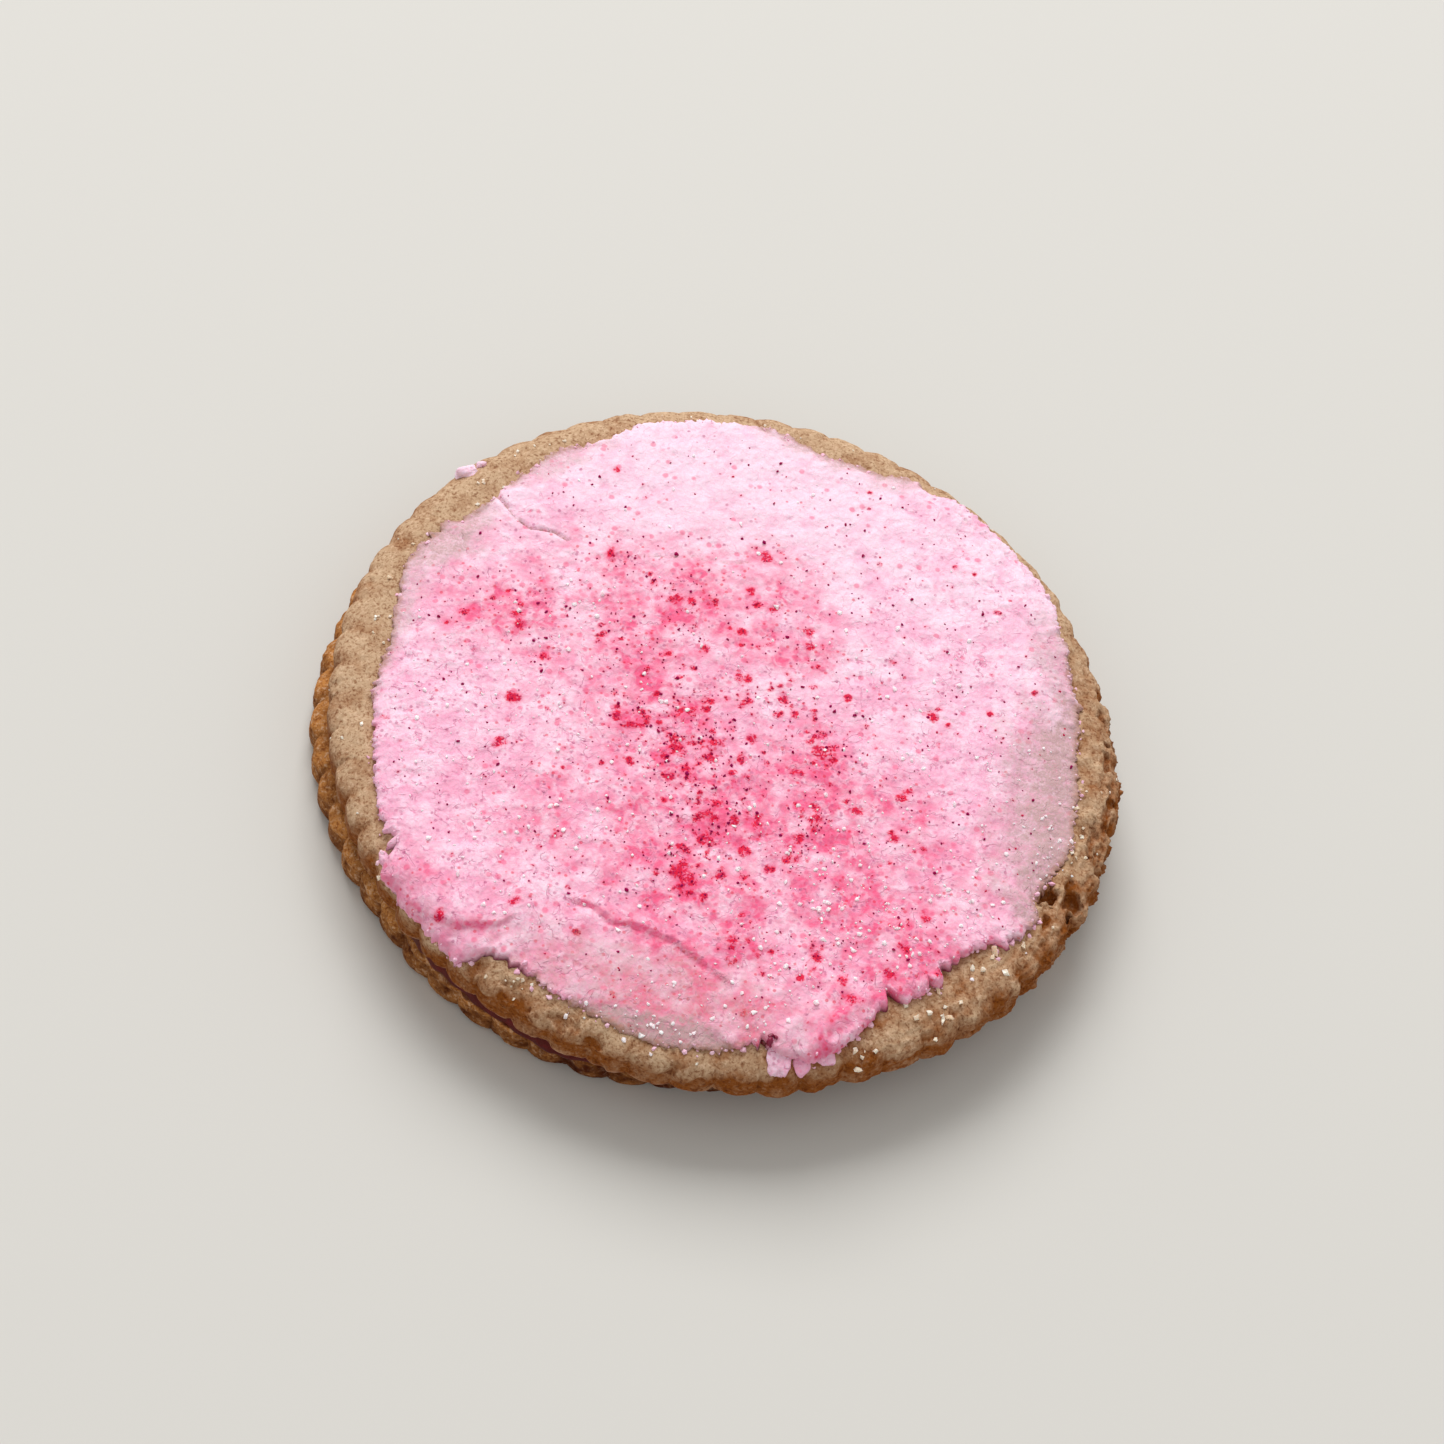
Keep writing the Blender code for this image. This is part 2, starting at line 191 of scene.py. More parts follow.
def quarter(size: float) -> list[float]:
    """Angles up to a quarter turn, in steps of one cell along a rounding with this sum of half axes."""
    count = round(size * QUARTER_LENGTH / CELL)
    return [math.pi / 2 * i / count for i in range(count + 1)]


def grip(inwards: float, reach: float) -> float:
    """How much of an edge's relief is left this far in from it: all at the edge and none past its reach."""
    return min(1.0, max(0.0, 1.0 - inwards / reach))


def smooth(value: float, low: float, high: float) -> float:
    """0 up to low and 1 from high, with an even turn between them. It falls where high is the lower one."""
    share = min(1.0, max(0.0, (value - low) / (high - low)))
    return share * share * (3.0 - 2.0 * share)


def spun(profile: list[tuple[float, float]], steps: int, start_deg: float, finer: int) -> bmesh.types.BMesh:
    """Spin a profile of (radius, height) pairs round Z, and close it with a fan at each end.

    Args:
        profile: from the underside's middle round the edge to the top's middle.
        steps: how many steps a full turn takes.
        start_deg: direction of the first step.
        finer: how many parts each step is then cut into, from 2 up.

    Returns:
        The closed shape.
    """
    bm = bmesh.new()
    points = [bm.verts.new(turned(radius, math.radians(start_deg), height)) for radius, height in profile]
    edges = [bm.edges.new(pair) for pair in zip(points, points[1:])]
    bmesh.ops.spin(
        bm, geom=points + edges, cent=(0, 0, 0), axis=(0, 0, 1), angle=math.tau, steps=steps, use_merge=True
    )
    bmesh.ops.remove_doubles(bm, verts=bm.verts, dist=SAME_PLACE)
    around = []
    for edge in bm.edges:
        a, b = (vert.co for vert in edge.verts)
        if abs(a.xy.length - b.xy.length) < SAME_PLACE and abs(a.z - b.z) < SAME_PLACE:
            around.append(edge)
    bmesh.ops.subdivide_edges(bm, edges=around, cuts=finer - 1, use_grid_fill=True)
    caps = bmesh.ops.holes_fill(bm, edges=bm.edges, sides=steps * finer)["faces"]
    bmesh.ops.poke(bm, faces=caps)
    bmesh.ops.recalc_face_normals(bm, faces=bm.faces)
    return bm


def top_of(
    surface: BVHTree, x: float, y: float, centre: tuple[float, float]
) -> tuple[Vector | None, Vector | None]:
    """Find the highest point of a surface over a place.

    Args:
        surface: the surface of a finished piece.
        x, y: the place, from the centre.
        centre: the top biscuit's centre.

    Returns:
        The point and the surface's normal there, or nothing twice beside the surface.
    """
    return surface.ray_cast(Vector((x + centre[0], y + centre[1], HIGH)), DOWN)[:2]


def place_in_ring(rng: random.Random, inner: float, outer: float) -> tuple[float, float]:
    """A place drawn evenly from a ring between two radii."""
    radius, theta = math.sqrt(rng.uniform(inner * inner, outer * outer)), rng.uniform(0, math.tau)
    return radius * math.cos(theta), radius * math.sin(theta)


def add_piece(
    bm: bmesh.types.BMesh, name: str, finish: bpy.types.Material, stands_for: str = "",
    flat: bool = False,
) -> None:
    """Make an object of a finished shape, which sits at the origin, and tie it to the frame.

    Args:
        bm: the shape, which is used up.
        name: the piece's name.
        finish: its material.
        stands_for: the CAD node that it replaces, if any.
        flat: whether its faces show as facets, as on a crystal.
    """
    mesh = bpy.data.meshes.new(name)
    bm.to_mesh(mesh)
    bm.free()
    if flat:
        mesh.shade_flat()
    else:
        mesh.shade_smooth()
    mesh.materials.append(finish)
    made = bpy.data.objects.new(name, mesh)
    bpy.context.scene.collection.objects.link(made)
    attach(made, BODY)
    if stands_for:
        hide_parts(stands_for)
    log.info("%s: %d faces", name, len(mesh.polygons))


# ---------------------------------------------------------------- finishes


class Sketch:
    """A material's node tree, with short calls for the patterns that the finishes are made of."""

    def __init__(self, name: str) -> None:
        """Start a material with its shader and the object's own coordinates.

        Args:
            name: what it is called.
        """
        self.material = bpy.data.materials.new(name)
        self.material.use_nodes = True
        self.tree = self.material.node_tree
        self.shader = self.tree.nodes["Principled BSDF"]
        self.place = self.tree.nodes.new("ShaderNodeTexCoord").outputs["Object"]

    def feed(self, socket: bpy.types.NodeSocket, value: Value) -> None:
        """Link a socket to another one, or set its number or colour.

        Args:
            socket: the socket that is fed.
            value: another socket, a hue or a number.
        """
        if isinstance(value, bpy.types.NodeSocket):
            self.tree.links.new(value, socket)
        elif isinstance(value, Hue):
            socket.default_value = value.linear
        else:
            socket.default_value = value

    def set(self, **values: Value) -> None:
        """Set the shader's sockets, named with underscores for spaces."""
        for name, value in values.items():
            self.feed(self.shader.inputs[name.replace("_", " ")], value)

    def noise(
        self, size: float, seed: float, detail: float = 2.0, twist: float = 0.0
    ) -> bpy.types.NodeSocket:
        """Cloudy noise from 0 to 1.

        Args:
            size: about how far apart its lumps are, in metres.
            seed: picks another pattern.
            detail: how many finer layers it has.
            twist: how far it is pulled into swirls.

        Returns:
            The noise's value.
        """
        node = self.tree.nodes.new("ShaderNodeTexNoise")
        node.noise_dimensions = "4D"
        self.feed(node.inputs["Vector"], self.place)
        self.feed(node.inputs["W"], seed)
        self.feed(node.inputs["Scale"], 1.0 / size)
        self.feed(node.inputs["Detail"], detail)
        self.feed(node.inputs["Distortion"], twist)
        return node.outputs["Fac"]

    def cells(self, size: float, smoothness: float = 0.3) -> bpy.types.NodeSocket:
        """Granules: how far a point lies from the nearest of many scattered ones.

        Args:
            size: about how far apart they are, in metres.
            smoothness: how far they run into each other.

        Returns:
            The distance, as a share of the size.
        """
        node = self.tree.nodes.new("ShaderNodeTexVoronoi")
        node.feature = "SMOOTH_F1"
        self.feed(node.inputs["Vector"], self.place)
        self.feed(node.inputs["Scale"], 1.0 / size)
        self.feed(node.inputs["Smoothness"], smoothness)
        return node.outputs["Distance"]

    def dots(self, spacing: float, radius: float, share: Value) -> bpy.types.NodeSocket:
        """Round dots strewn about this far apart.

        Args:
            spacing: how far apart they would be if all showed, in metres.
            radius: the largest dot's radius, in metres. One whose middle is off the surface looks smaller.
            share: how many of them show, from 0 to 1.

        Returns:
            1 in a dot and 0 between them.
        """
        node = self.tree.nodes.new("ShaderNodeTexVoronoi")
        self.feed(node.inputs["Vector"], self.place)
        self.feed(node.inputs["Scale"], 1.0 / spacing)
        draw = self.tree.nodes.new("ShaderNodeSeparateColor")
        self.feed(draw.inputs[0], node.outputs["Color"])
        inside = self.between(node.outputs["Distance"], radius / spacing, 0.5 * radius / spacing)
        shown = self.between(self.sum("SUBTRACT", share, draw.outputs[0]), 0.0, 0.03)
        return self.times(inside, shown)

    def attribute(self, name: str) -> bpy.types.NodeSocket:
        """Read what the mesh keeps at each of its vertices.

        Args:
            name: the attribute's name.

        Returns:
            Its number.
        """
        node = self.tree.nodes.new("ShaderNodeAttribute")
        node.attribute_name = name
        return node.outputs["Fac"]

    def between(
        self, value: Value, low: float, high: float, start: float = 0.0, end: float = 1.0
    ) -> bpy.types.NodeSocket:
        """Turn one range of numbers into another, with soft ends.

        Args:
            value: the number.
            low, high: the range that it comes from.
            start, end: the range that it goes to.

        Returns:
            The new number.
        """
        node = self.tree.nodes.new("ShaderNodeMapRange")
        node.interpolation_type = "SMOOTHSTEP"
        names = "Value", "From Min", "From Max", "To Min", "To Max"
        for name, number in zip(names, (value, low, high, start, end)):
            self.feed(node.inputs[name], number)
        return node.outputs["Result"]

    def sum(self, operation: str, first: Value, second: Value) -> bpy.types.NodeSocket:
        """Reckon with two numbers.

        Args:
            operation: ADD, SUBTRACT or MULTIPLY.
            first, second: the numbers.

        Returns:
            The result, held between 0 and 1.
        """
        node = self.tree.nodes.new("ShaderNodeMath")
        node.operation = operation
        node.use_clamp = True
        self.feed(node.inputs[0], first)
        self.feed(node.inputs[1], second)
        return node.outputs[0]

    def times(self, first: Value, second: Value) -> bpy.types.NodeSocket:
        """The product of two numbers, held between 0 and 1."""
        return self.sum("MULTIPLY", first, second)

    def mix(self, under: Value, over: Value, share: Value, blend: str = "MIX") -> bpy.types.NodeSocket:
        """Lay one colour over another.

        Args:
            under, over: hues or sockets.
            share: how much of the upper one shows.
            blend: Blender's name for the way that they mix.

        Returns:
            The mixed colour.
        """
        node = self.tree.nodes.new("ShaderNodeMix")
        node.data_type = "RGBA"
        node.blend_type = blend
        self.feed(node.inputs[0], share)
        self.feed(node.inputs[6], under)
        self.feed(node.inputs[7], over)
        return node.outputs[2]

    def bump(self, height: Value, depth: float, under: Value | None = None) -> bpy.types.NodeSocket:
        """Add fine relief.

        Args:
            height: how high it is, from 0 to 1.
            depth: how high 1 stands, in metres.
            under: another relief that it lies on, if any.

        Returns:
            The surface's new normal.
        """
        node = self.tree.nodes.new("ShaderNodeBump")
        self.feed(node.inputs["Distance"], depth)
        self.feed(node.inputs["Height"], height)
        if under is not None:
            self.feed(node.inputs["Normal"], under)
        return node.outputs["Normal"]


@dataclass(frozen=True)
class CrustFinish:
    """Baked biscuit: a granular crumb that is browner where it baked hardest, and darker where painted shade
    lies in its hollows and on its near side.
    """

    name: str
    pale: Hue
    brown: Hue
    seed: float

    def make(self) -> bpy.types.Material:
        """Put the material together. It reads the attributes for the browning with its painted shade, the
        painted highlight along the lip, and the jam with its painted shade.

        Returns:
            The material.
        """
        s = Sketch(self.name)
        granules = s.cells(0.46 * MM)
        grain = s.noise(0.36 * MM, self.seed, detail=2.0, twist=0.7)
        fine = s.noise(0.17 * MM, self.seed + 1.0, detail=1.0)
        blotches = s.noise(1.9 * MM, self.seed + 2.0, detail=4.0, twist=0.5)
        # browning, with painted shade in hollows and painted highlight on raised crumb
        bake_and_shade = s.sum("ADD", s.attribute("bake_and_shade"), s.between(blotches, 0.3, 0.7, -0.28, 0.28))
        colour = s.mix(self.pale, self.brown, bake_and_shade)
        soft = s.between(bake_and_shade, 0.25, 0.9, 1.0, 0.3)
        colour = s.mix(colour, Hue.CRUMB_LIGHT, s.times(soft, s.between(grain, 0.5, 0.72, 0.0, 0.5)))
        colour = s.mix(colour, Hue.CRUMB_LIGHT, s.times(soft, s.between(granules, 0.2, 0.06, 0.0, 0.3)))
        colour = s.mix(colour, Hue.CRUMB_SHADE, s.between(grain, 0.48, 0.3, 0.0, 0.7), "MULTIPLY")
        colour = s.mix(colour, Hue.CRUMB_SHADE, s.between(fine, 0.46, 0.34, 0.0, 0.5), "MULTIPLY")
        # painted highlight: a pale broken line along the lip
        colour = s.mix(colour, Hue.LIP_HIGHLIGHT, s.attribute("lip_highlight"))
        # jam run over the top edge, with painted shade under the upper biscuit's lip
        colour = s.mix(colour, Hue.JAM_STAIN_AND_SHADE, s.attribute("jam"))
        rough = s.bump(grain, 0.07 * MM)
        rough = s.bump(fine, 0.04 * MM, rough)
        s.set(Base_Color=colour, Normal=rough, Roughness=0.8, Specular_IOR_Level=0.1)
        return s.material


@dataclass(frozen=True)
class JamFinish:
    """Thick dark red jam, dried to a dull shine at its edge."""

    name: str

    def make(self) -> bpy.types.Material:
        """Put the material together. It reads the attribute dry.

        Returns:
            The material.
        """
        s = Sketch(self.name)
        clots = s.noise(0.9 * MM, 3.0, detail=3.0)
        colour = s.mix(Hue.DEEP_JAM, Hue.JAM_CLOT, s.between(clots, 0.45, 0.7, 0.0, 0.8))
        colour = s.mix(colour, Hue.JAM_SEAM, s.attribute("dry"))
        s.set(Base_Color=colour, Normal=s.bump(clots, 0.12 * MM), Roughness=0.5, Specular_IOR_Level=0.15)
        return s.material


@dataclass(frozen=True)
class IcingFinish:
    """Dry, crumbly pink icing, stained red round the jelly, with the biscuit showing where it is thin. Light
    and shade are painted into it: whiter on the far side and on raised plaques, and darker or redder towards
    the near edge, in cracks, at the foot of ledges and under its edge.
    """

    name: str

    def make(self) -> bpy.types.Material:
        """Put the material together. It reads the attributes for the red stain, the soaked red with its
        painted shade, the paleness with its painted light, the thin places, the bare biscuit with painted
        shade in cracks, and the painted shadow under the edge.

        Returns:
            The material.
        """
        s = Sketch(self.name)
        clouds = s.noise(2.4 * MM, 1.0, detail=4.0, twist=0.5)
        curds = s.noise(1.0 * MM, 6.0, detail=3.0, twist=0.8)
        mottle = s.noise(0.46 * MM, 2.0, detail=2.0, twist=0.9)
        granules = s.cells(0.42 * MM, 0.2)
        grain = s.noise(0.15 * MM, 4.0, detail=1.0)
        # soaked red, with painted shade towards the near edge and at the foot of ledges
        wash_and_shade = s.attribute("wash_and_shade")
        pale = s.attribute("pale")
        calm = s.between(pale, 0.3, 0.9, 1.0, 0.3)
        # paleness with painted light: whiter on the far side and on raised plaques
        paleness_and_light = s.sum("ADD", pale, s.between(clouds, 0.34, 0.66, -0.4, 0.4))
        paleness_and_light = s.sum("ADD", paleness_and_light, s.between(curds, 0.32, 0.68, -0.12, 0.12))
        colour = s.mix(Hue.ICING_PINK, Hue.ICING_WHITE, paleness_and_light)
        soaked = s.times(wash_and_shade, s.between(curds, 0.3, 0.68, 1.55, 0.45))
        soaked = s.times(soaked, s.between(clouds, 0.32, 0.68, 1.35, 0.6))
        colour = s.mix(colour, Hue.ICING_WASH, soaked)
        creases = s.times(s.between(granules, 0.36, 0.62), s.between(mottle, 0.62, 0.4, 0.0, 0.45))
        colour = s.mix(colour, Hue.ICING_CREASE, s.times(creases, calm))
        hairs = s.noise(1.7 * MM, 9.0, detail=3.0, twist=0.6)
        hairs = s.times(s.between(hairs, 0.475, 0.5), s.between(hairs, 0.53, 0.505))
        hairs = s.times(hairs, s.times(s.between(curds, 0.42, 0.62), calm))
        colour = s.mix(colour, Hue.ICING_CREASE, s.times(hairs, 0.8))
        share = s.sum("ADD", s.times(wash_and_shade, 0.3), s.times(calm, 0.34))
        marks = s.dots(0.48 * MM, 0.2 * MM, share)
        colour = s.mix(colour, Hue.ICING_MARK, s.times(marks, s.between(curds, 0.35, 0.6, 0.15, 0.6)))
        smudges = s.dots(0.85 * MM, 0.36 * MM, s.sum("ADD", s.times(wash_and_shade, 0.55), 0.12))
        colour = s.mix(colour, Hue.ICING_WASH, s.times(smudges, 0.6))
        dots = s.dots(0.62 * MM, 0.2 * MM, s.sum("ADD", s.times(wash_and_shade, 0.6), 0.03))
        colour = s.mix(colour, Hue.ICING_RED, s.times(dots, 0.6))
        stain = s.attribute("stain")
        colour = s.mix(colour, Hue.ICING_WASH, s.between(stain, 0.0, 0.7, 0.0, 0.7))
        torn = s.noise(0.42 * MM, 8.0, detail=2.0, twist=1.2)
        broken = s.sum("SUBTRACT", s.times(stain, s.between(torn, 0.34, 0.66, 0.35, 1.5)), 0.2)
        red = s.mix(Hue.ICING_RED, Hue.ICING_MAGENTA, s.between(grain, 0.5, 0.62, 0.0, 0.7))
        colour = s.mix(colour, red, s.between(broken, 0.0, 0.5, 0.0, 0.97))
        thin = s.times(s.attribute("thin"), s.between(mottle, 0.35, 0.62, 0.6, 1.2))
        thin = s.times(thin, s.between(grain, 0.35, 0.65, 0.85, 1.15))
        colour = s.mix(colour, Hue.ICING_THIN, thin)
        # the biscuit showing through, and painted shade in the cracks
        patchy = s.sum("SUBTRACT", s.attribute("bare"), s.between(mottle, 0.35, 0.65, 0.0, 0.5))
        colour = s.mix(colour, Hue.ICING_BARE, patchy)
        # painted shadow under the edge
        colour = s.mix(colour, Hue.ICING_FOOT_SHADOW, s.attribute("foot"))
        rough = s.bump(curds, 0.12 * MM)
        rough = s.bump(mottle, 0.07 * MM, rough)
        rough = s.bump(s.sum("SUBTRACT", 1.0, hairs), 0.05 * MM, rough)
        rough = s.bump(granules, 0.035 * MM, rough)
        rough = s.bump(grain, 0.02 * MM, rough)
        s.set(Base_Color=colour, Normal=rough, Roughness=0.62, Specular_IOR_Level=0.15)
        s.set(Subsurface_Weight=0.12, Subsurface_Scale=0.0004, Subsurface_Radius=(1.0, 0.45, 0.55))
        return s.material


@dataclass(frozen=True)
class CrystalFinish:
    """Small pieces: sugar, jelly, specks and crumbs. Their shade runs between two hues."""

    name: str
    light: Hue
    dark: Hue
    roughness: float
    glow: float = 0.0  # how much light spreads inside them
    shine: float = 0.0  # painted glow: how much of their own colour they emit, so that grains look as if they catch the light
    gloss: float = 0.5  # how much they mirror

    def make(self) -> bpy.types.Material:
        """Put the material together. It reads the attribute shade.

        Returns:
            The material.
        """
        s = Sketch(self.name)
        colour = s.mix(self.light, self.dark, s.attribute("shade"))
        s.set(Base_Color=colour, Roughness=self.roughness, Specular_IOR_Level=self.gloss)
        # painted glow: the pieces emit a little of their own colour
        s.set(Emission_Color=colour, Emission_Strength=self.shine)
        s.set(Subsurface_Weight=self.glow, Subsurface_Scale=0.0006, Subsurface_Radius=(1.0, 0.8, 0.8))
        return s.material


# ---------------------------------------------------------------- biscuits


@dataclass(frozen=True)
class Wave:
    """A swell of the edge: how many crests, where the first is and how high they are."""

    lengths = range(2, 3)  # the fields that a table gives in millimetres
    count: int
    crest_deg: float
    height: float


@dataclass(frozen=True)
class Bulge:
    """A stretch where an edge reaches further out, or falls short, or bears a mark."""

    lengths = range(2, 3)
    at_deg: float
    half_width_deg: float
    reach: float  # how far out, or how strong the mark is
    steepness: int = 2  # 2 is a soft bell, and higher numbers give it a flat top and sheer sides

    def swell(self, theta: float) -> float:
        """How much further out the edge is at this angle."""
        return self.reach * plateau(angle_between(theta, self.at_deg), self.half_width_deg, self.steepness)


@dataclass(frozen=True)
class Stretch:
    """A stretch of the edge where something is stronger or weaker than elsewhere."""

    at_deg: float
    half_angle: float
    amount: float = 1.0

    def share(self, theta: float) -> float:
        """1 in its middle, fading to nothing beside it."""
        return bell(angle_between(theta, self.at_deg), self.half_angle)


@dataclass(frozen=True)
class Pit:
    """A crack or a broken-out crumb, placed by its direction and how far it lies in from the edge."""

    lengths = range(1, 5)
    at_deg: float
    inwards: float
    half_width: float
    half_length: float  # along the rim
    depth: float
    lean: float = 0.0  # how far inwards it runs for each step along the rim


@dataclass(frozen=True)
class Groove:
    """A furrow that runs round the wall where the dough's layers came apart."""

    lengths = range(2, 5)
    at_deg: float
    half_angle: float
    height: float  # above the biscuit's underside
    half_width: float
    depth: float


@dataclass
class ScallopedBiscuit:
    """One baked biscuit. Shoulder and lip are (width, height) of the rounding above and below the wall."""

    name: str
    slot: Slot
    finish: CrustFinish
    centre: tuple[float, float]
    radius: float
    base: float
    waves: tuple[Wave, ...]
    bulges: tuple[Bulge, ...]
    first_lobe_deg: float
    lobe_depth: float
    lobe_reach: float  # how far in from the edge the scallops show
    soft_side: Stretch  # where the scallops are flatter, and how much of them is left
    crag: Stretch  # where the rim is broken, and how deep
    shoulder: tuple[float, float]
    lip: tuple[float, float]
    seed: int
    browning: tuple[float, float]  # at the top face and at the foot of the wall
    pits: tuple[Pit, ...] = ()
    grooves: tuple[Groove, ...] = ()
    knobbly: Stretch = Stretch(270.0, 60.0, 0.5)  # where the lumps are deeper, and by what share
    browner_and_shaded: Stretch = Stretch(300.0, 70.0, 0.2)  # where it is browner, and where painted shade darkens its near side, and by how much
    highlit_lip: Stretch = Stretch(270.0, 0.01)  # where a painted highlight runs as a pale line along the lip
    jam_stain_and_shade: Bulge = Bulge(270.0, 0.01, 1.0, 4)  # where jam has run over the top edge, and where it stands for painted shade under the upper biscuit's lip
    covered_reach: float = 0.0  # under the icing or the other biscuit it is plain up to this radius
    crumb_depth: float = 0.035 * MM
    lump_depth: float = 0.10 * MM
    hole_depth: float = 0.12 * MM

    @property
    def top(self) -> float:
        """Height of the flat top."""
        return self.base + BISCUIT_THICKNESS

    def lobe_turn(self, theta: float) -> float:
        """How many lobes lie between the first one and this angle."""
        return angle_between(theta, self.first_lobe_deg) / 360.0 * SCALLOPS

    def lobe(self, theta: float) -> float:
        """How far round a lobe this angle is: 1 at its crest and 0 in the valley beside it."""
        turn = self.lobe_turn(theta)
        return abs(math.cos(math.pi * (turn - round(turn)))) ** LOBE_ROUNDNESS

    def lobe_height(self, theta: float) -> float:
        """How far the scalloped edge stands out of its mean circle.

        Args:
            theta: the direction, in radians.

        Returns:
            The height, which is negative in a valley.
        """
        crest_angle = math.tau * round(self.lobe_turn(theta)) / SCALLOPS
        uneven = 1.0 + LOBE_UNEVENNESS * ring_noise(crest_angle, 7.0, self.seed)
        softened = 1.0 - (1.0 - self.soft_side.amount) * self.soft_side.share(theta)
        return self.lobe_depth * uneven * softened * (self.lobe(theta) - 0.5)

    def edge_radius(self, theta: float) -> float:
        """The mean edge, out of round as it was baked.

        Args:
            theta: the direction, in radians.

        Returns:
            Its radius.
        """
        waves = sum(
            w.height * math.cos(w.count * math.radians(angle_between(theta, w.crest_deg))) for w in self.waves
        )
        return self.radius + waves + sum(bulge.swell(theta) for bulge in self.bulges)

    def crag_depth(self, theta: float, height: float) -> float:
        """Relief of the rim: slight all round, and broken into upright flakes on one side.

        Args:
            theta: the direction, in radians.
            height: the height on the wall.

        Returns:
            How far the rim stands out there.
        """
        broken = self.crag.share(theta)
        flakes = ring_noise(theta, 26.0, self.seed + 1, height / (2.2 * MM))
        dents = ring_noise(theta, 9.0, self.seed + 2, height / (3.0 * MM))
        splinters = ring_noise(theta, 64.0, self.seed + 3, height / (1.1 * MM))
        coarse = self.crag.amount * (0.25 + broken) * (0.8 * flakes + 0.5 * dents)
        return coarse + 0.34 * MM * broken * (0.4 - 1.6 * abs(splinters))

    def groove_depth(self, theta: float, height: float) -> float:
        """The furrows round the wall.

        Args:
            theta: the direction, in radians.
            height: the height on the wall.

        Returns:
            How deep they are there.
        """
        depth = 0.0
        for index, groove in enumerate(self.grooves):
            along = bell(angle_between(theta, groove.at_deg), groove.half_angle)
            wander = 0.28 * MM * ring_noise(theta, 15.0, self.seed + 11 + index)
            ragged = 0.75 + 0.7 * ring_noise(theta, 34.0, self.seed + 21 + index)
            away = height - self.base - groove.height - wander
            depth += groove.depth * along * ragged * bell(away, groove.half_width)
        return depth

    def shoulder_drop(self, inwards: float) -> float:
        """How far the rounded shoulder lies below the flat top.

        Args:
            inwards: how far in from the edge.

        Returns:
            The drop.
        """
        width, height = self.shoulder
        share = grip(inwards, width)
        return height * (1.0 - math.sqrt(1.0 - share * share))

    def pit_depth(self, theta: float, inwards: float) -> float:
        """The cracks and broken-out crumbs on the top.

        Args:
            theta: the direction, in radians.
            inwards: how far in from the edge.

        Returns:
            How deep they are there.
        """
        depth = 0.0
        for pit in self.pits:
            along = math.radians(angle_between(theta, pit.at_deg)) * self.radius
            across = (inwards - pit.inwards - pit.lean * along) / pit.half_width
            away = math.hypot(along / pit.half_length, across)
            ragged = 1.0 + 0.9 * ring_noise(theta, 48.0, self.seed + 6, inwards / (0.6 * MM))
            depth += pit.depth * plateau(away * ragged, 1.0, 6)
        return depth

    def profile(self) -> list[tuple[float, float]]:
        """The turned profile from the underside up to the flat top, with close rings where the rim shows.

        Returns:
            Its (radius, height) pairs.
        """
        lip_width, lip_height = self.lip[0], 2.0 * self.lip[1]
        width, height = self.shoulder
        foot, head = self.base + lip_height, self.top - height
        lip = [
            (self.radius - lip_width * (1 - math.sin(t)), self.base + lip_height * (1 - math.cos(t)))
            for t in quarter(lip_width + lip_height)
        ]
        count = round((head - foot) / CELL)
        wall = [(self.radius, foot + (head - foot) * i / count) for i in range(1, count)]
        shoulder = [
            (self.radius - width * (1 - math.cos(t)), head + height * math.sin(t))
            for t in quarter(width + height)
        ]
        underside = [(self.radius - lip_width - inwards * MM, self.base) for inwards in UNDER_RINGS]
        face = [(self.radius - width - inwards * MM, self.top) for inwards in OVER_RINGS]
        return underside + lip + wall + shoulder + face

    def shape(self, bm: bmesh.types.BMesh) -> None:
        """Push the turned disc out of round, scallop its edge and break up its rim.

        Args:
            bm: the disc.
        """
        for vert in bm.verts:
            (theta, radius), height = polar(vert.co.x, vert.co.y), vert.co.z
            inwards = self.radius - radius
            if inwards > RIM_REACH:
                continue
            radius += self.edge_radius(theta) - self.radius
            radius += grip(inwards, self.lobe_reach) * self.lobe_height(theta)
            radius += grip(inwards, CRAG_REACH) * self.crag_depth(theta, height)
            radius -= self.groove_depth(theta, height)
            if height > self.top - self.shoulder[1]:
                height -= self.pit_depth(theta, inwards)
            vert.co = turned(radius, theta, height)

    def relief(self, place: Vector) -> float:
        """The crumb: lumps, granules, holes, and flaky ledges where the rim is broken.

        Args:
            place: a point of the surface.

        Returns:
            How far the crumb stands out there.
        """
        theta, radius = polar(place.x, place.y)
        broken = self.crag.share(theta)
        knobbly = self.knobbly.amount * self.knobbly.share(theta)
        lump = self.lump_depth * (1.0 + knobbly + 0.5 * broken) * (
            lumps(place, 2.8 * MM, self.seed) + 0.5 * lumps(place, 1.3 * MM, self.seed + 4)
        )
        crumb = self.crumb_depth * (1.0 + broken) * (
            lumps(place, 0.62 * MM, self.seed + 1) + 0.7 * lumps(place, 0.36 * MM, self.seed + 2)
        )
        hole = -self.hole_depth * (1.0 + knobbly) * smooth(lumps(place, 1.4 * MM, self.seed + 3), 0.28, 0.6)
        return lump + crumb + hole + 0.5 * MM * broken * self.flakes(theta, radius, place.z)

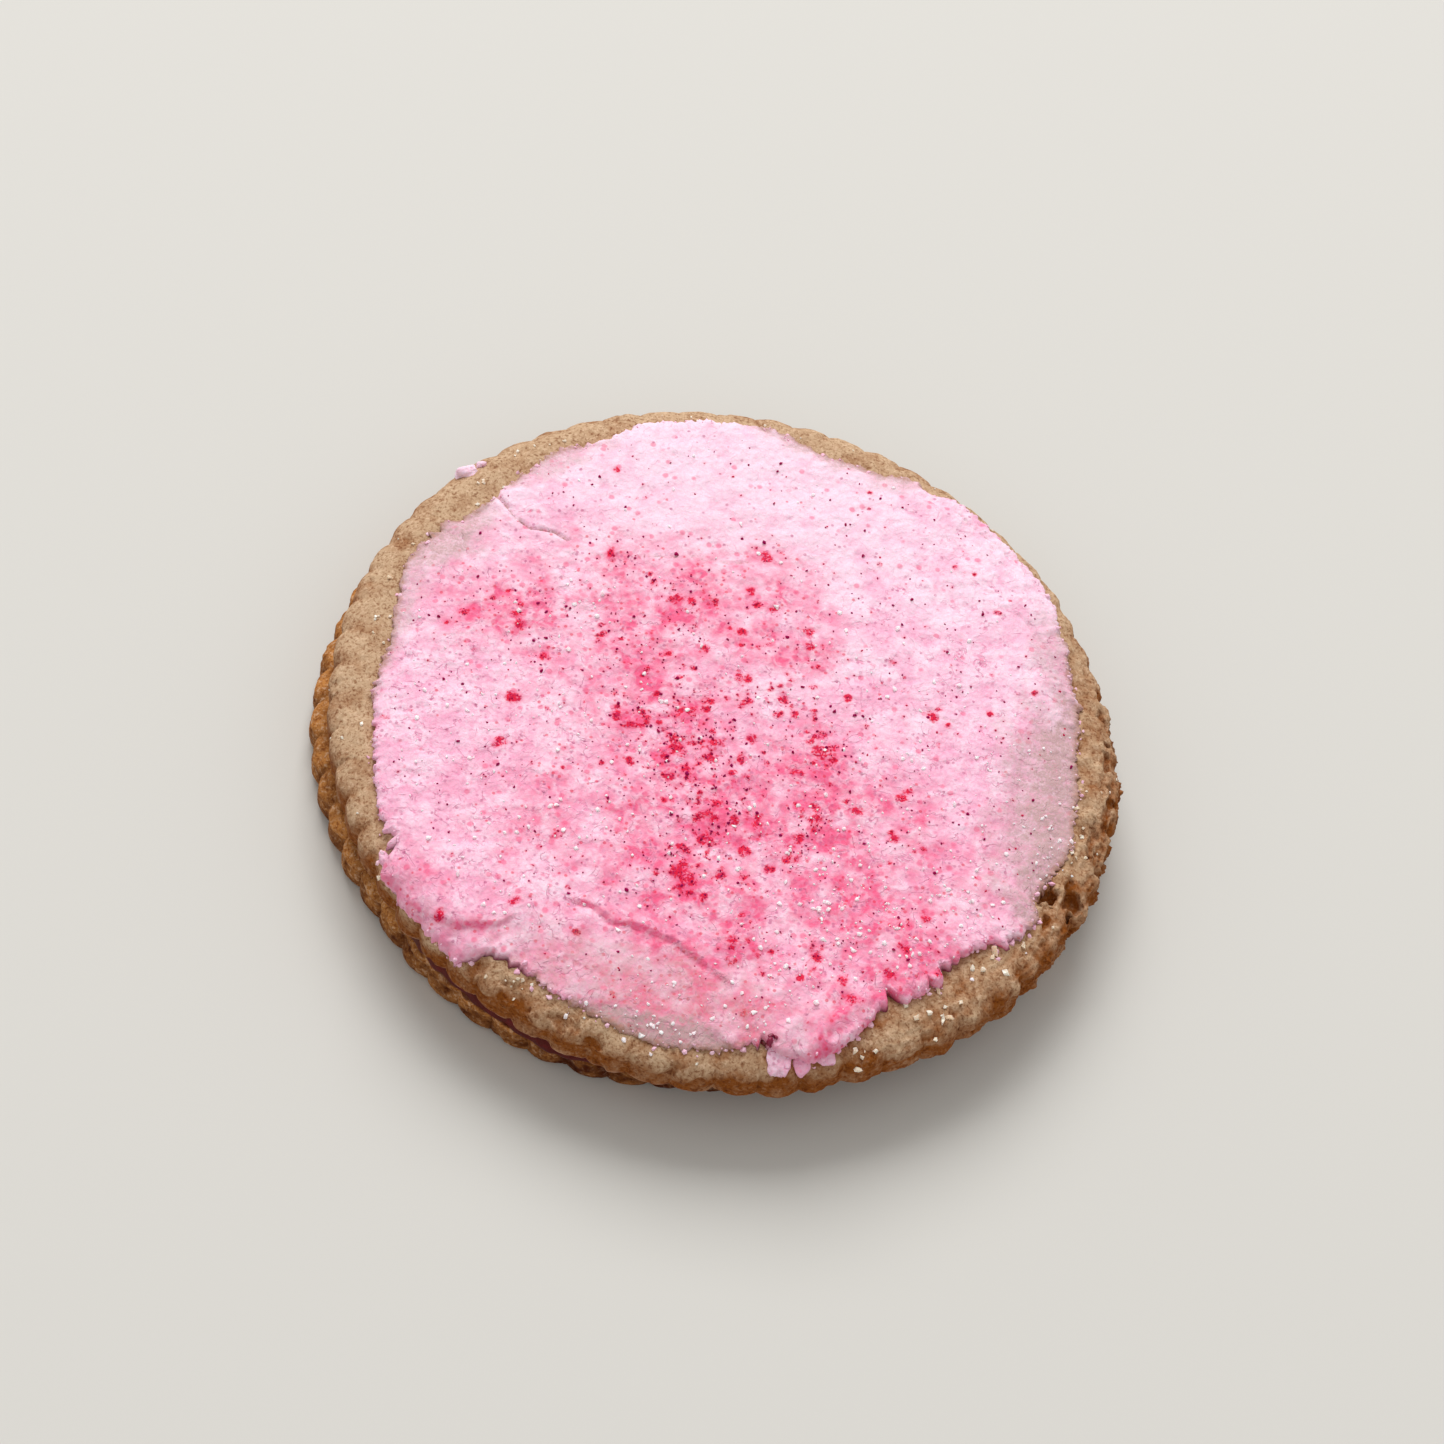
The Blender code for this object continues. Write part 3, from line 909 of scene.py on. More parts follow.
    def flakes(self, theta: float, radius: float, height: float) -> float:
        """Long thin flakes along the rim: ridges with narrow clefts between.

        Args:
            theta: the direction, in radians.
            radius, height: where it lies on the rim.

        Returns:
            How far they stand out, as a share of their depth.
        """
        across = (height - radius) / (1.0 * MM) + 0.5 * noise.noise(turned(9.0, theta, self.seed))
        coarse = noise.noise(turned(11.0, theta, across))
        fine = noise.noise(turned(24.0, theta, 2.1 * across))
        return 0.22 - 1.1 * abs(coarse) - 0.55 * abs(fine)

    def roughen(self, bm: bmesh.types.BMesh) -> None:
        """Raise the crumb along the surface's normals, leave the resting face flat, and note the height.

        Args:
            bm: the shaped biscuit.
        """
        bm.normal_update()
        layer = bm.verts.layers.float.new("relief")
        moves = []
        for vert in bm.verts:
            place, radius = vert.co, math.hypot(vert.co.x, vert.co.y)
            shown = smooth(radius, self.covered_reach - 0.6 * MM, self.covered_reach + 0.6 * MM)
            if place.z < self.base + 0.02 * MM:
                shown = 0.0
            height = shown * self.relief(place)
            vert[layer] = height
            moves.append(vert.normal * height)
        for vert, move in zip(bm.verts, moves):
            vert.co += move
            vert.co.z = max(self.base, vert.co.z)

    def bake_and_shade(self, place: Vector, relief: float) -> float:
        """How brown it baked, with painted shade: darker in the scallops' valleys, in hollows, pits and
        grooves and on the near side, and paler on raised crumb as a painted highlight.

        Args:
            place: a point of the surface.
            relief: how far the crumb stands out there.

        Returns:
            The browning with its painted shade, from 0 to 1.
        """
        theta, radius = polar(place.x, place.y)
        inwards = self.edge_radius(theta) - radius
        face, foot = self.browning
        depth = smooth(self.top - place.z, 0.35 * MM, 2.6 * MM)
        # painted shade in the valleys between the scallops
        valley = smooth(inwards, 3.2 * MM, 0.4 * MM) * (1.0 - self.lobe(theta))
        # painted shade on the near side, added to real browning
        browner_and_shaded = self.browner_and_shaded.share(theta)
        bake_and_shade = face + (foot - face) * depth + 0.15 * valley + self.browner_and_shaded.amount * browner_and_shaded
        patches = 0.18 * lumps(place, 2.6 * MM, self.seed + 9) + 0.12 * lumps(place, 0.9 * MM, self.seed + 8)
        bake_and_shade += (1.0 + 1.2 * browner_and_shaded) * patches
        # painted shade in the hollows and painted highlight on raised crumb
        bake_and_shade -= 0.22 * max(-2.0, min(1.0, relief / (0.2 * MM)))
        # painted shade in the pits and grooves
        bake_and_shade += 0.8 * self.pit_depth(theta, inwards) / MM + 1.6 * self.groove_depth(theta, place.z) / MM
        return min(1.0, max(0.0, bake_and_shade))

    def lip_highlight(self, place: Vector) -> float:
        """A painted highlight, in a thin broken pale line along the lip.

        Args:
            place: a point of the surface.

        Returns:
            How strong it is there, from 0 to 1.
        """
        theta, radius = polar(place.x, place.y)
        line = smooth(place.z - self.base, 0.34 * MM, 0.16 * MM)
        line *= smooth(self.edge_radius(theta) - radius, 2 * MM, 0.4 * MM)
        line *= self.highlit_lip.share(theta)
        return min(1.0, max(0.0, line * (0.6 + 1.1 * lumps(place, 0.9 * MM, self.seed + 5))))

    def jam(self, place: Vector) -> float:
        """Jam that has run over the top edge, painted dark where it also stands for the shade under the upper
        biscuit's lip.

        Args:
            place: a point of the surface.

        Returns:
            How much lies there, from 0 to 1.
        """
        theta = math.atan2(place.y, place.x)
        coarse, fine = ring_noise(theta, 30.0, self.seed + 31), ring_noise(theta, 90.0, self.seed + 32)
        ragged = 0.22 * MM * coarse + 0.1 * MM * fine
        run = smooth(self.top - place.z + ragged, 0.8 * MM, 0.6 * MM)
        return run * self.jam_stain_and_shade.swell(theta)

    def tint(self, bm: bmesh.types.BMesh) -> None:
        """Note at each vertex how brown it baked with its painted shade, how strong the painted highlight
        along the lip is, and how much jam and painted shade lie at the top edge.

        Args:
            bm: the roughened biscuit.
        """
        relief = bm.verts.layers.float["relief"]
        layers = [bm.verts.layers.float.new(name) for name in ("bake_and_shade", "lip_highlight", "jam")]
        for vert in bm.verts:
            values = self.bake_and_shade(vert.co, vert[relief]), self.lip_highlight(vert.co), self.jam(vert.co)
            for layer, value in zip(layers, values):
                vert[layer] = value

    def build(self) -> BVHTree:
        """Make the biscuit.

        Returns:
            Its surface, for what lies on it.
        """
        bm = spun(self.profile(), SCALLOPS * STEPS_PER_SCALLOP, self.first_lobe_deg, FINER)
        self.shape(bm)
        self.roughen(bm)
        self.tint(bm)
        bm.transform(Matrix.Translation((*self.centre, 0.0)))
        surface = BVHTree.FromBMesh(bm)
        add_piece(bm, f"{self.name}_baked", self.finish.make(), stands_for=self.name)
        return surface


def bottom_biscuit() -> ScallopedBiscuit:
    """The lower biscuit, browner and with deep round lobes.

    Returns:
        The biscuit, not built yet.
    """
    return ScallopedBiscuit(
        name="bottom_biscuit",
        slot=Slot.BOTTOM,
        finish=CrustFinish("browned_crust", Hue.LOWER_CRUST, Hue.DARK_CRUST, seed=20.0),
        centre=(0.14 * MM, 0.82 * MM),
        radius=34.6 * MM,
        base=0.0,
        waves=table(Wave, (2, 1, 0.26), (3, 35, 0.24)),
        bulges=table(Bulge, (190, 14, 0.4), (221, 10, -0.25), (294, 30, -1.5, 4)),
        first_lobe_deg=1.55,
        lobe_depth=0.75 * MM,
        lobe_reach=2.2 * MM,
        soft_side=Stretch(245, 35, 0.6),
        crag=Stretch(350, 40, 0.25 * MM),
        shoulder=(1.9 * MM, 1.2 * MM),
        lip=(0.8 * MM, 0.5 * MM),
        seed=2,
        browning=(0.2, 0.5),
        grooves=table(Groove, (195, 60, 2.3, 0.35, 0.3)),
        # painted shade: the lower biscuit's near side, which lies in shadow, painted much darker
        browner_and_shaded=Stretch(290, 32, 0.6),
        # jam and painted shade on the near side, just under the upper biscuit's lip
        jam_stain_and_shade=Bulge(257, 23, 1.0, 4),
        covered_reach=30.5 * MM,
    )


def top_biscuit() -> ScallopedBiscuit:
    """The upper biscuit, paler, with a wide rounded shoulder and a broken stretch of rim.

    Returns:
        The biscuit, not built yet.
    """
    return ScallopedBiscuit(
        name="top_biscuit",
        slot=Slot.TOP,
        finish=CrustFinish("spiced_crust", Hue.PALE_CRUST, Hue.BROWN_CRUST, seed=40.0),
        centre=(0.54 * MM, -0.28 * MM),
        radius=34.45 * MM,
        base=BISCUIT_THICKNESS + JAM_THICKNESS + 2 * CLEARANCE,
        waves=table(Wave, (2, -56, 0.57), (3, 27, 0.09)),
        bulges=table(Bulge, (0, 9, 0.3), (25, 9, -0.35), (303, 9, -0.3)),
        first_lobe_deg=3.6,
        lobe_depth=0.45 * MM,
        lobe_reach=1.8 * MM,
        soft_side=Stretch(150, 60, 0.8),
        crag=Stretch(352, 42, 0.55 * MM),
        pits=table(
            Pit,
            (338.7, 3.0, 0.55, 0.85, 1.3, -0.3), (340.6, 1.2, 0.5, 1.0, 1.2, 0.5),
            (334.5, 2.0, 0.25, 0.8, 0.8, 0.3), (352, 1.6, 0.2, 1.6, 0.6, 0.15), (358, 0.9, 0.22, 1.8, 0.6),
            (6, 1.3, 0.25, 1.4, 0.6, -0.1), (14, 0.8, 0.3, 1.2, 0.5), (241, 0.9, 0.7, 1.1, 0.35),
            (248, 0.7, 0.7, 1.3, 0.35, -0.3), (256, 0.9, 0.5, 1.2, 0.3),
        ),
        shoulder=(3.4 * MM, 1.7 * MM),
        lip=(0.4 * MM, 0.15 * MM),
        seed=7,
        grooves=table(
            Groove,
            (250, 45, 0.75, 0.3, 0.2), (262, 30, 1.9, 0.32, 0.2), (323, 9, 0.8, 0.3, 0.6),
            (5, 26, 1.3, 0.3, 0.5),
        ),
        knobbly=Stretch(262, 45, 1.2),
        # browner on the broken rim, with painted shade on the near side
        browner_and_shaded=Stretch(312, 75, 0.32),
        browning=(0.08, 0.8),
        # painted highlight along the near lip
        highlit_lip=Stretch(248, 42),
        covered_reach=28.0 * MM,
    )


# ---------------------------------------------------------------- jam


@dataclass
class JamLayer:
    """The jam: a bead that fills the gap between the biscuits and stops short of their edges."""

    bottom: ScallopedBiscuit
    top: ScallopedBiscuit
    set_back: float = 1.1 * MM
    wave: float = 0.5 * MM
    overlap: float = 0.12 * MM  # how far it reaches into both biscuits, so that no air shows
    bulges: tuple[Bulge, ...] = table(Bulge, (247, 24, 1.25, 5), (294, 30, -1.5, 4))
    dried: Bulge = Bulge(200, 30, 1.0, 6)  # where it is caked with crumbs
    rings: int = 14
    steps: int = 244
    width: float = 6.0 * MM  # how far in its flat faces have rings of their own

    @property
    def radius(self) -> float:
        """The bead's mean reach."""
        return min(self.bottom.radius, self.top.radius) - self.set_back

    @property
    def levels(self) -> tuple[float, float]:
        """Heights of its underside and its top."""
        return self.bottom.top - self.overlap, self.top.base + self.overlap

    def profile(self) -> list[tuple[float, float]]:
        """Half a round bead, with flat faces above and below that run to the middle.

        Returns:
            Its (radius, height) pairs.
        """
        (low, high), radius = self.levels, self.radius
        half = (high - low) / 2
        turns = (math.pi * (i / self.rings - 0.5) for i in range(self.rings + 1))
        bead = [(radius - half * (1 - math.cos(t)), low + half * (1 + math.sin(t))) for t in turns]
        return [(radius - self.width, low), *bead, (radius - self.width, high)]

    def settle(self, bm: bmesh.types.BMesh) -> None:
        """Let the bead fill the gap where the lower biscuit's shoulder falls away under it.

        Args:
            bm: the bead, in its place.
        """
        low, high = self.levels
        for vert in bm.verts:
            theta, reach = polar(vert.co.x - self.bottom.centre[0], vert.co.y - self.bottom.centre[1])
            inwards = self.bottom.edge_radius(theta) - reach
            share = (high - vert.co.z) / (high - low)
            vert.co.z -= share * min(1.0 * MM, self.bottom.shoulder_drop(inwards))

    def build(self) -> None:
        """Make the jam."""
        bm = spun(self.profile(), self.steps, 0.0, finer=3)
        dry = bm.verts.layers.float.new("dry")
        for vert in bm.verts:
            theta, reach = polar(vert.co.x, vert.co.y)
            if reach < self.radius / 2:
                continue
            swell = self.wave * ring_noise(theta, 6.0, 4) + self.top.edge_radius(theta) - self.top.radius
            swell += 0.22 * MM * ring_noise(theta, 30.0, 5) + 0.08 * MM * lumps(vert.co, 0.6 * MM, 6)
            swell += sum(bulge.swell(theta) for bulge in self.bulges)
            vert[dry] = self.dried.swell(theta)
            vert.co.x += swell * math.cos(theta)
            vert.co.y += swell * math.sin(theta)
        middle = (Vector(self.bottom.centre) + Vector(self.top.centre)) / 2
        bm.transform(Matrix.Translation((*middle, 0.0)))
        self.settle(bm)
        add_piece(bm, "jam_bead", JamFinish("dark_jam").make(), stands_for="jam_filling")


# ---------------------------------------------------------------- icing


@dataclass(frozen=True)
class Near:
    """Where a place lies by a line: how far off, by which of its points and on which side."""

    away: float
    x: float
    y: float
    side: float  # 1 on the left of the line's direction and -1 on its right
    from_end: float  # how far along the line its nearer end is


@dataclass
class Line:
    """A line drawn in the icing: a crack, a smeared ridge, or the ledge where one spread lies over another.

    All its lengths are given in millimetres, its corners from the biscuit's centre.
    """

    corners: tuple[tuple[float, float], ...]
    half_width: float
    depth: float = 0.0  # of a crack
    ridge: float = 0.0  # height of a ridge along the line
    lift: float = 0.0  # how much higher the icing stands on the line's left
    reach: float = 0.9  # how far out the lift fades
    shade: float = 0.0  # how dark a crack is, or how much red painted shade lies at the foot of a ledge

    def __post_init__(self) -> None:
        """Turn the lengths into metres, and note the box outside which the line has no effect."""
        self.corners = tuple((x * MM, y * MM) for x, y in self.corners)
        self.half_width, self.depth, self.ridge = self.half_width * MM, self.depth * MM, self.ridge * MM
        self.lift, self.reach = self.lift * MM, self.reach * MM
        margin = 2.5 * max(self.half_width, self.reach if self.lift else 0.0)
        (self.left, self.right), (self.low, self.high) = (
            (min(values) - margin, max(values) + margin) for values in zip(*self.corners)
        )

    def near(self, x: float, y: float) -> Near | None:
        """Find how a place lies by the line.

        Args:
            x, y: the place.

        Returns:
            The answer, or nothing if it is too far off to matter.
        """
        if not (self.left < x < self.right and self.low < y < self.high):
            return None
        best, before, total = None, 0.0, 0.0
        for (ax, ay), (bx, by) in zip(self.corners, self.corners[1:]):
            along_x, along_y = bx - ax, by - ay
            length = math.hypot(along_x, along_y)
            share = min(1.0, max(0.0, ((x - ax) * along_x + (y - ay) * along_y) / (length * length)))
            near_x, near_y = ax + share * along_x, ay + share * along_y
            away = math.hypot(x - near_x, y - near_y)
            if best is None or away < best[0]:
                side = 1.0 if along_x * (y - ay) - along_y * (x - ax) > 0.0 else -1.0
                best, before = (away, near_x, near_y, side), total + share * length
            total += length
        return Near(*best, from_end=min(before, total - before))


@dataclass(frozen=True)
class Blotch:
    """A round place where jelly lies thickly, or where its red has soaked into the icing."""

    lengths = range(3)
    x: float
    y: float
    radius: float
    strength: float

    def at(self, x: float, y: float) -> float:
        """How strong it is at a place."""
        return self.strength * bell(math.hypot(x - self.x, y - self.y), self.radius)


@dataclass(frozen=True)
class Patch:
    """An oval place where the icing is thicker or thinner than elsewhere."""

    lengths = range(4)
    x: float
    y: float
    half_length: float
    half_width: float
    turn_deg: float
    change: float  # of the thickness, in millimetres, or how far the biscuit shows through

    def away(self, x: float, y: float) -> float:
        """How far off a place is.

        Args:
            x, y: the place.

        Returns:
            The distance, with 1 at the oval itself.
        """
        turn = math.radians(self.turn_deg)
        dx, dy = x - self.x, y - self.y
        along = (dx * math.cos(turn) + dy * math.sin(turn)) / self.half_length
        return math.hypot(along, (dy * math.cos(turn) - dx * math.sin(turn)) / self.half_width)


@dataclass
class JellyCrystals:
    """Red jelly crystals, strewn thickest round the middle. They lie singly and in small clusters."""

    blotches: tuple[Blotch, ...]
    spots: tuple[tuple[float, float, float], ...]  # the plainest clusters: x, y and size in millimetres
    clusters: int = 130
    singles: int = 1300
    limit: float = 30.5 * MM
    seed: int = 12
    places: list[tuple[float, float, float]] = field(default_factory=list)  # x, y, half size
    halos: list[tuple[float, float, float, float]] = field(default_factory=list)  # x, y, radius, strength

    def density(self, x: float, y: float) -> float:
        """How thickly the jelly lies here."""
        return sum(blotch.at(x, y) for blotch in self.blotches)

    def pick(self, rng: random.Random, evenness: float) -> tuple[float, float]:
        """Draw a place by density.

        Args:
            rng: draws it.
            evenness: from 0 to 1, lets more of them lie elsewhere.

        Returns:
            The place.
        """
        while True:
            x, y = rng.uniform(-self.limit, self.limit), rng.uniform(-self.limit, self.limit)
            if math.hypot(x, y) < self.limit and rng.random() < evenness + self.density(x, y) ** 1.5:
                return x, y

    def add_cluster(
        self, rng: random.Random, x: float, y: float, size: float, strength: float, halo: float
    ) -> None:
        """Strew one cluster as a short random walk about its middle.

        Args:
            rng: draws the walk.
            x, y: the cluster's middle.
            size: how widely it spreads.
            strength: how red its crystals stain.
            halo: how red the wider stain round them is.
        """
        self.halos.append((x, y, 1.5 * size + 0.4 * MM, halo))
        heading, step = rng.uniform(0, math.tau), 0.6 * size + 0.06 * MM
        start_x, start_y = x, y
        for _ in range(3 + round(9 * size / MM)):
            self.halos.append((x, y, rng.uniform(0.14, 0.28) * MM, rng.uniform(0.6, 1.0) * strength))
            if rng.random() < 0.5:
                self.places.append((x, y, rng.uniform(0.05, 0.11) * MM))
            heading += rng.gauss(0, 1.3)
            x = start_x + 0.75 * (x - start_x) + step * math.cos(heading)
            y = start_y + 0.75 * (y - start_y) + step * math.sin(heading)

    def strew(self) -> None:
        """Choose the place and size of every crystal, and of the stain round it."""
        rng = random.Random(self.seed)
        for x, y, size in self.spots:
            self.add_cluster(rng, x * MM, y * MM, 0.5 * size * MM, rng.uniform(0.7, 0.95), 0.26)
        for _ in range(self.clusters):
            x, y = self.pick(rng, 0.01)
            self.add_cluster(rng, x, y, rng.uniform(0.08, 0.26) * MM, rng.uniform(0.2, 0.55), 0.1)
        for _ in range(self.singles):
            x, y = self.pick(rng, 0.06)
            size = min(0.12, rng.expovariate(22.0) + 0.05) * MM
            self.halos.append((x, y, 1.2 * size + 0.12 * MM, rng.uniform(0.1, 0.5)))
            if rng.random() < 0.6:
                self.places.append((x, y, size))


@dataclass
class SpreadIcing:
    """The icing, spread by knife: ragged at its edge, crumbly on top, thin in places and torn in others."""

    biscuit: ScallopedBiscuit
    bed: BVHTree
    jelly: JellyCrystals
    washes: tuple[Blotch, ...]
    reach: float = 30.9 * MM  # of its mean edge
    teeth: float = 0.28 * MM  # how far its small teeth stand out
    relief: float = 0.12 * MM  # how uneven its thickness is
    thinnest: float = 0.3 * MM  # its least thickness
    rim_spare: float = 0.1 * MM  # how much of the biscuit's rim it leaves free at the least
    cells: int = 304
    snap: float = 0.11 * MM  # how near a crack a vertex is drawn onto it
    bulges: tuple[Bulge, ...] = table(
        Bulge,
        (27, 3, 0.85), (47, 16, 1.6, 8), (68, 3.4, 1.2), (102.5, 15.5, 1.45, 6), (127.4, 5.8, 0.75),
        (145, 7, -0.8), (153, 1.3, 0.7), (161, 6.5, 0.6, 4), (180, 9, -1.2), (196, 3.9, -0.7),
        (214.3, 5.7, 1.0), (230.2, 10.4, 3.0, 12), (247, 6, -0.65), (265, 28.8, 1.35, 6), (272, 9.5, 1.1),
        (291, 5.2, 0.6, 8), (293.4, 7.9, 1.8, 6), (309, 2.4, 0.5), (319.5, 5.5, -0.8), (331, 4.5, 1.25, 6),
        (348, 4.5, 0.6), (5, 6, -0.5),
    )
    notches: tuple[Bulge, ...] = table(
        Bulge,
        (218.2, 0.45, 1.2, 4), (239.6, 0.8, -0.5, 4), (284.4, 0.5, -0.5, 4), (287.5, 2.6, -0.5, 4),
        (60, 8, 0.35, 4), (305.4, 0.7, -1.2, 4), (313.6, 0.8, 0.6, 4), (315.6, 0.9, -0.5, 4),
        (326.5, 0.5, 0.7, 4), (328.2, 1.0, -0.5, 4),
    )
    layers: tuple[Patch, ...] = table(
        Patch,
        (-2, -28, 13, 4.5, 0, -0.3), (28, -3, 3, 10, 0, -0.35), (-18.5, -22.5, 6, 4, 0, 0.25),
        (11, -28, 5, 4, 0, 0.2), (20, -20, 5, 3, 0, 0.2),
    )
    thin_patches: tuple[Patch, ...] = table(
        Patch,
        (-2, -32.6, 10, 2.3, -2, 1.0), (-2, -29, 13, 4.5, -4, 0.42), (30.2, -2, 13, 4.4, 90, 1.0),
        (28.5, -2.5, 12.5, 5.4, 90, 0.66), (28.6, -11, 4.5, 2.6, 74, 0.85), (-30.2, 5, 12, 2.2, 88, 0.5),
        (-27, 13, 5.5, 3, 62, 0.8), (-20.5, 23, 6, 2.2, 42, 0.5), (6, 31, 9, 2.4, -10, 0.8),
        (27.5, 12.5, 5, 2.2, 112, 0.45),
    )
    lines: tuple[Line, ...] = (
        Line(((-23.9, 17.9), (-23.0, 17.0), (-21.9, 15.8), (-20.4, 15.0), (-19.2, 15.1), (-18.2, 15.1),
              (-17.0, 14.5)), 0.14, depth=0.35, shade=0.9),
        Line(((-10.4, 14.2), (-9.4, 14.7), (-8.0, 14.9), (-7.2, 15.1)), 0.14, depth=0.16, shade=0.55),
        Line(((-6.3, 15.7), (-5.4, 15.3), (-4.1, 15.5), (-2.6, 15.5), (-1.0, 16.1)),
             0.13, depth=0.14, shade=0.45),
        Line(((16.4, 4.0), (17.4, 3.6), (18.6, 3.6), (19.6, 3.3)), 0.14, depth=0.15, shade=0.3),
        Line(((16.4, 26.9), (17.8, 25.6), (19.4, 24.6), (20.4, 23.3)), 0.2, depth=0.2, shade=0.3),
        Line(((18.6, 26.0), (20.1, 24.3), (21.6, 22.9)), 0.2, depth=0.16, shade=0.2),
        Line(((23.0, 16.5), (24.4, 15.6), (25.9, 13.6), (27.0, 12.4)), 0.25, depth=0.14, shade=0.15),
        Line(((5.2, -27.2), (4.2, -26.5), (2.4, -25.6), (0.6, -24.6), (-0.6, -23.9), (-2.4, -23.5),
              (-4.5, -23.2), (-6.0, -23.3), (-7.6, -22.2), (-10.6, -22.0)), 0.16, lift=-0.3, shade=0.75),
        Line(((-13.4, -24.2), (-15.0, -25.9), (-18.0, -26.6), (-21.0, -26.0), (-23.0, -24.4)),
             0.2, lift=-0.28, reach=1.5, shade=0.5),
        Line(((8.8, -32.6), (9.6, -30.4), (11.2, -27.6), (14.0, -24.6)), 0.5, ridge=0.16),
        Line(((11.2, -32.4), (12.6, -29.6), (14.6, -27.0), (16.2, -25.4)), 0.45, ridge=0.14),
        Line(((9.8, -33.6), (9.7, -32.3)), 0.55, ridge=0.28),
        Line(((11.6, -32.9), (11.2, -31.6)), 0.5, ridge=0.24),
        Line(((13.4, -31.4), (15.4, -28.6)), 0.4, ridge=0.12),
        Line(((7.0, -26.8), (8.6, -29.6), (9.0, -31.2)), 0.16, depth=0.12, shade=0.2),
        Line(((18.0, -24.2), (19.8, -23.0), (21.6, -22.2)), 0.5, ridge=0.16),
        Line(((-24.6, -22.0), (-25.0, -20.9)), 0.4, ridge=0.2),
    )
    foot_shadows: tuple[Bulge, ...] = tuple(  # where painted shadow lies dark red under the edge, and how dark it is
        Bulge(*row) for row in (
            (219.2, 2.0, 0.8), (244.0, 5.0, 1.0, 4), (284.4, 1.0, 1.0, 4), (305.0, 2.0, 1.0, 4),
            (316.0, 2.4, 0.9, 4), (327.5, 1.6, 0.8, 4),
        )
    )
    edge_steps: int = 4500
    edge_table: list[float] = field(default_factory=list)

    def __post_init__(self) -> None:
        """Work out the ragged outline once, at close steps round the circle."""
        turns = (math.tau * step / self.edge_steps for step in range(self.edge_steps))
        self.edge_table = [self.ragged_reach(theta) for theta in turns]

    def smooth_reach(self, theta: float) -> float:
        """How far the icing reaches, without its teeth."""
        return self.reach + sum(bulge.swell(theta) for bulge in self.bulges)

    def edge(self, theta: float) -> float:
        """How far the icing reaches, read from the outline.

        Args:
            theta: the direction, in radians.

        Returns:
            Its radius.
        """
        turn = (theta / math.tau % 1.0) * self.edge_steps
        step = int(turn)
        before, after = self.edge_table[step % self.edge_steps], self.edge_table[(step + 1) % self.edge_steps]
        return before + (after - before) * (turn - step)

    def ragged_reach(self, theta: float) -> float:
        """How far the icing reaches, with its teeth, fingers and torn notches.

        Args:
            theta: the direction, in radians.

        Returns:
            Its radius.
        """
        reach = self.smooth_reach(theta)
        reach += self.teeth * (ring_noise(theta, 40.0, 11) + 0.6 * ring_noise(theta, 17.0, 12))
        steps = 1.9 * ring_noise(theta, 68.0, 13)
        torn = 0.17 * MM * (1.0 + 1.4 * ring_noise(theta, 9.0, 15))
        reach += torn * (round(steps) + 0.5 * (steps - round(steps)))
        reach += 0.2 * MM * ring_noise(theta, 170.0, 14)
        reach += sum(notch.swell(theta) for notch in self.notches)
        return min(reach, self.biscuit.edge_radius(theta) + self.biscuit.lobe_height(theta) - self.rim_spare)

    def bed_height(self, x: float, y: float) -> float:
        """Height of the biscuit's surface.

        Args:
            x, y: the place.

        Returns:
            The height.
        """
        point, _ = top_of(self.bed, x, y, self.biscuit.centre)
        if point is not None and point.z > self.biscuit.base:
            return point.z
        theta, radius = polar(x, y)
        return self.biscuit.top - self.biscuit.shoulder_drop(self.biscuit.edge_radius(theta) - radius)

    def filled_height(self, x: float, y: float) -> float:
        """Height of the biscuit's surface with its furrows filled, as the icing's own top follows it.

        Args:
            x, y: the place.

        Returns:
            The height.
        """
        here = self.bed_height(x, y)
        if math.hypot(x, y) < self.biscuit.covered_reach - 1.5 * MM:
            return here
        turns, step = [math.tau * i / 6 for i in range(6)], 0.8 * MM
        around = [self.bed_height(x + step * math.cos(t), y + step * math.sin(t)) for t in turns]
        return max(sum(around) / len(around), here - 0.05 * MM)

    def thickness(self, x: float, y: float) -> float:
        """The icing's thickness: knife strokes, thin patches and thick lobes.

        Args:
            x, y: the place.

        Returns:
            The thickness.
        """
        thickness = ICING_THICKNESS
        for layer in self.layers:
            thickness += layer.change * MM * plateau(layer.away(x, y), 1.0)
        thickness += self.relief * noise.noise(Vector((x, y, 0.0)) / (4.0 * MM))
        return max(self.thinnest, thickness)

    def thinness(self, x: float, y: float) -> float:
        """How far the biscuit shows through.

        Args:
            x, y: the place.

        Returns:
            The share, from 0 to 1.
        """
        place = Vector((x, y, 0.0))
        ragged = lumps(place, 1.7 * MM, 31) + 0.7 * lumps(place, 0.7 * MM, 32)
        return max(p.change * smooth(p.away(x, y) + 0.35 * ragged, 1.3, 0.5) for p in self.thin_patches)

    def crumble(self, x: float, y: float, smoothness: float) -> tuple[float, float]:
        """The crumbly relief.

        Args:
            x, y: the place.
            smoothness: 1 where the knife left the icing smooth.

        Returns:
            The height, and how far this place is lifted, from 0 in a dent to 1 on a plaque.
        """
        place = Vector((x, y, 0.0))
        plaques = lumps(place, 1.5 * MM, 21)
        flakes = 1.0 - 2.4 * abs(lumps(place, 0.95 * MM, 22))
        crumbs = lumps(place, 0.45 * MM, 23)
        strokes = lumps(Vector(((x + 0.5 * y) / 3.2, (y - 0.5 * x) / 0.85, 0.0)), 1.0 * MM, 25)
        lift = 0.5 + 0.45 * plaques + 0.2 * flakes + 0.2 * strokes
        height = (0.09 * plaques + 0.06 * flakes + 0.04 * crumbs + 0.05 * strokes) * MM
        return height * (1.0 - 0.65 * smoothness), lift

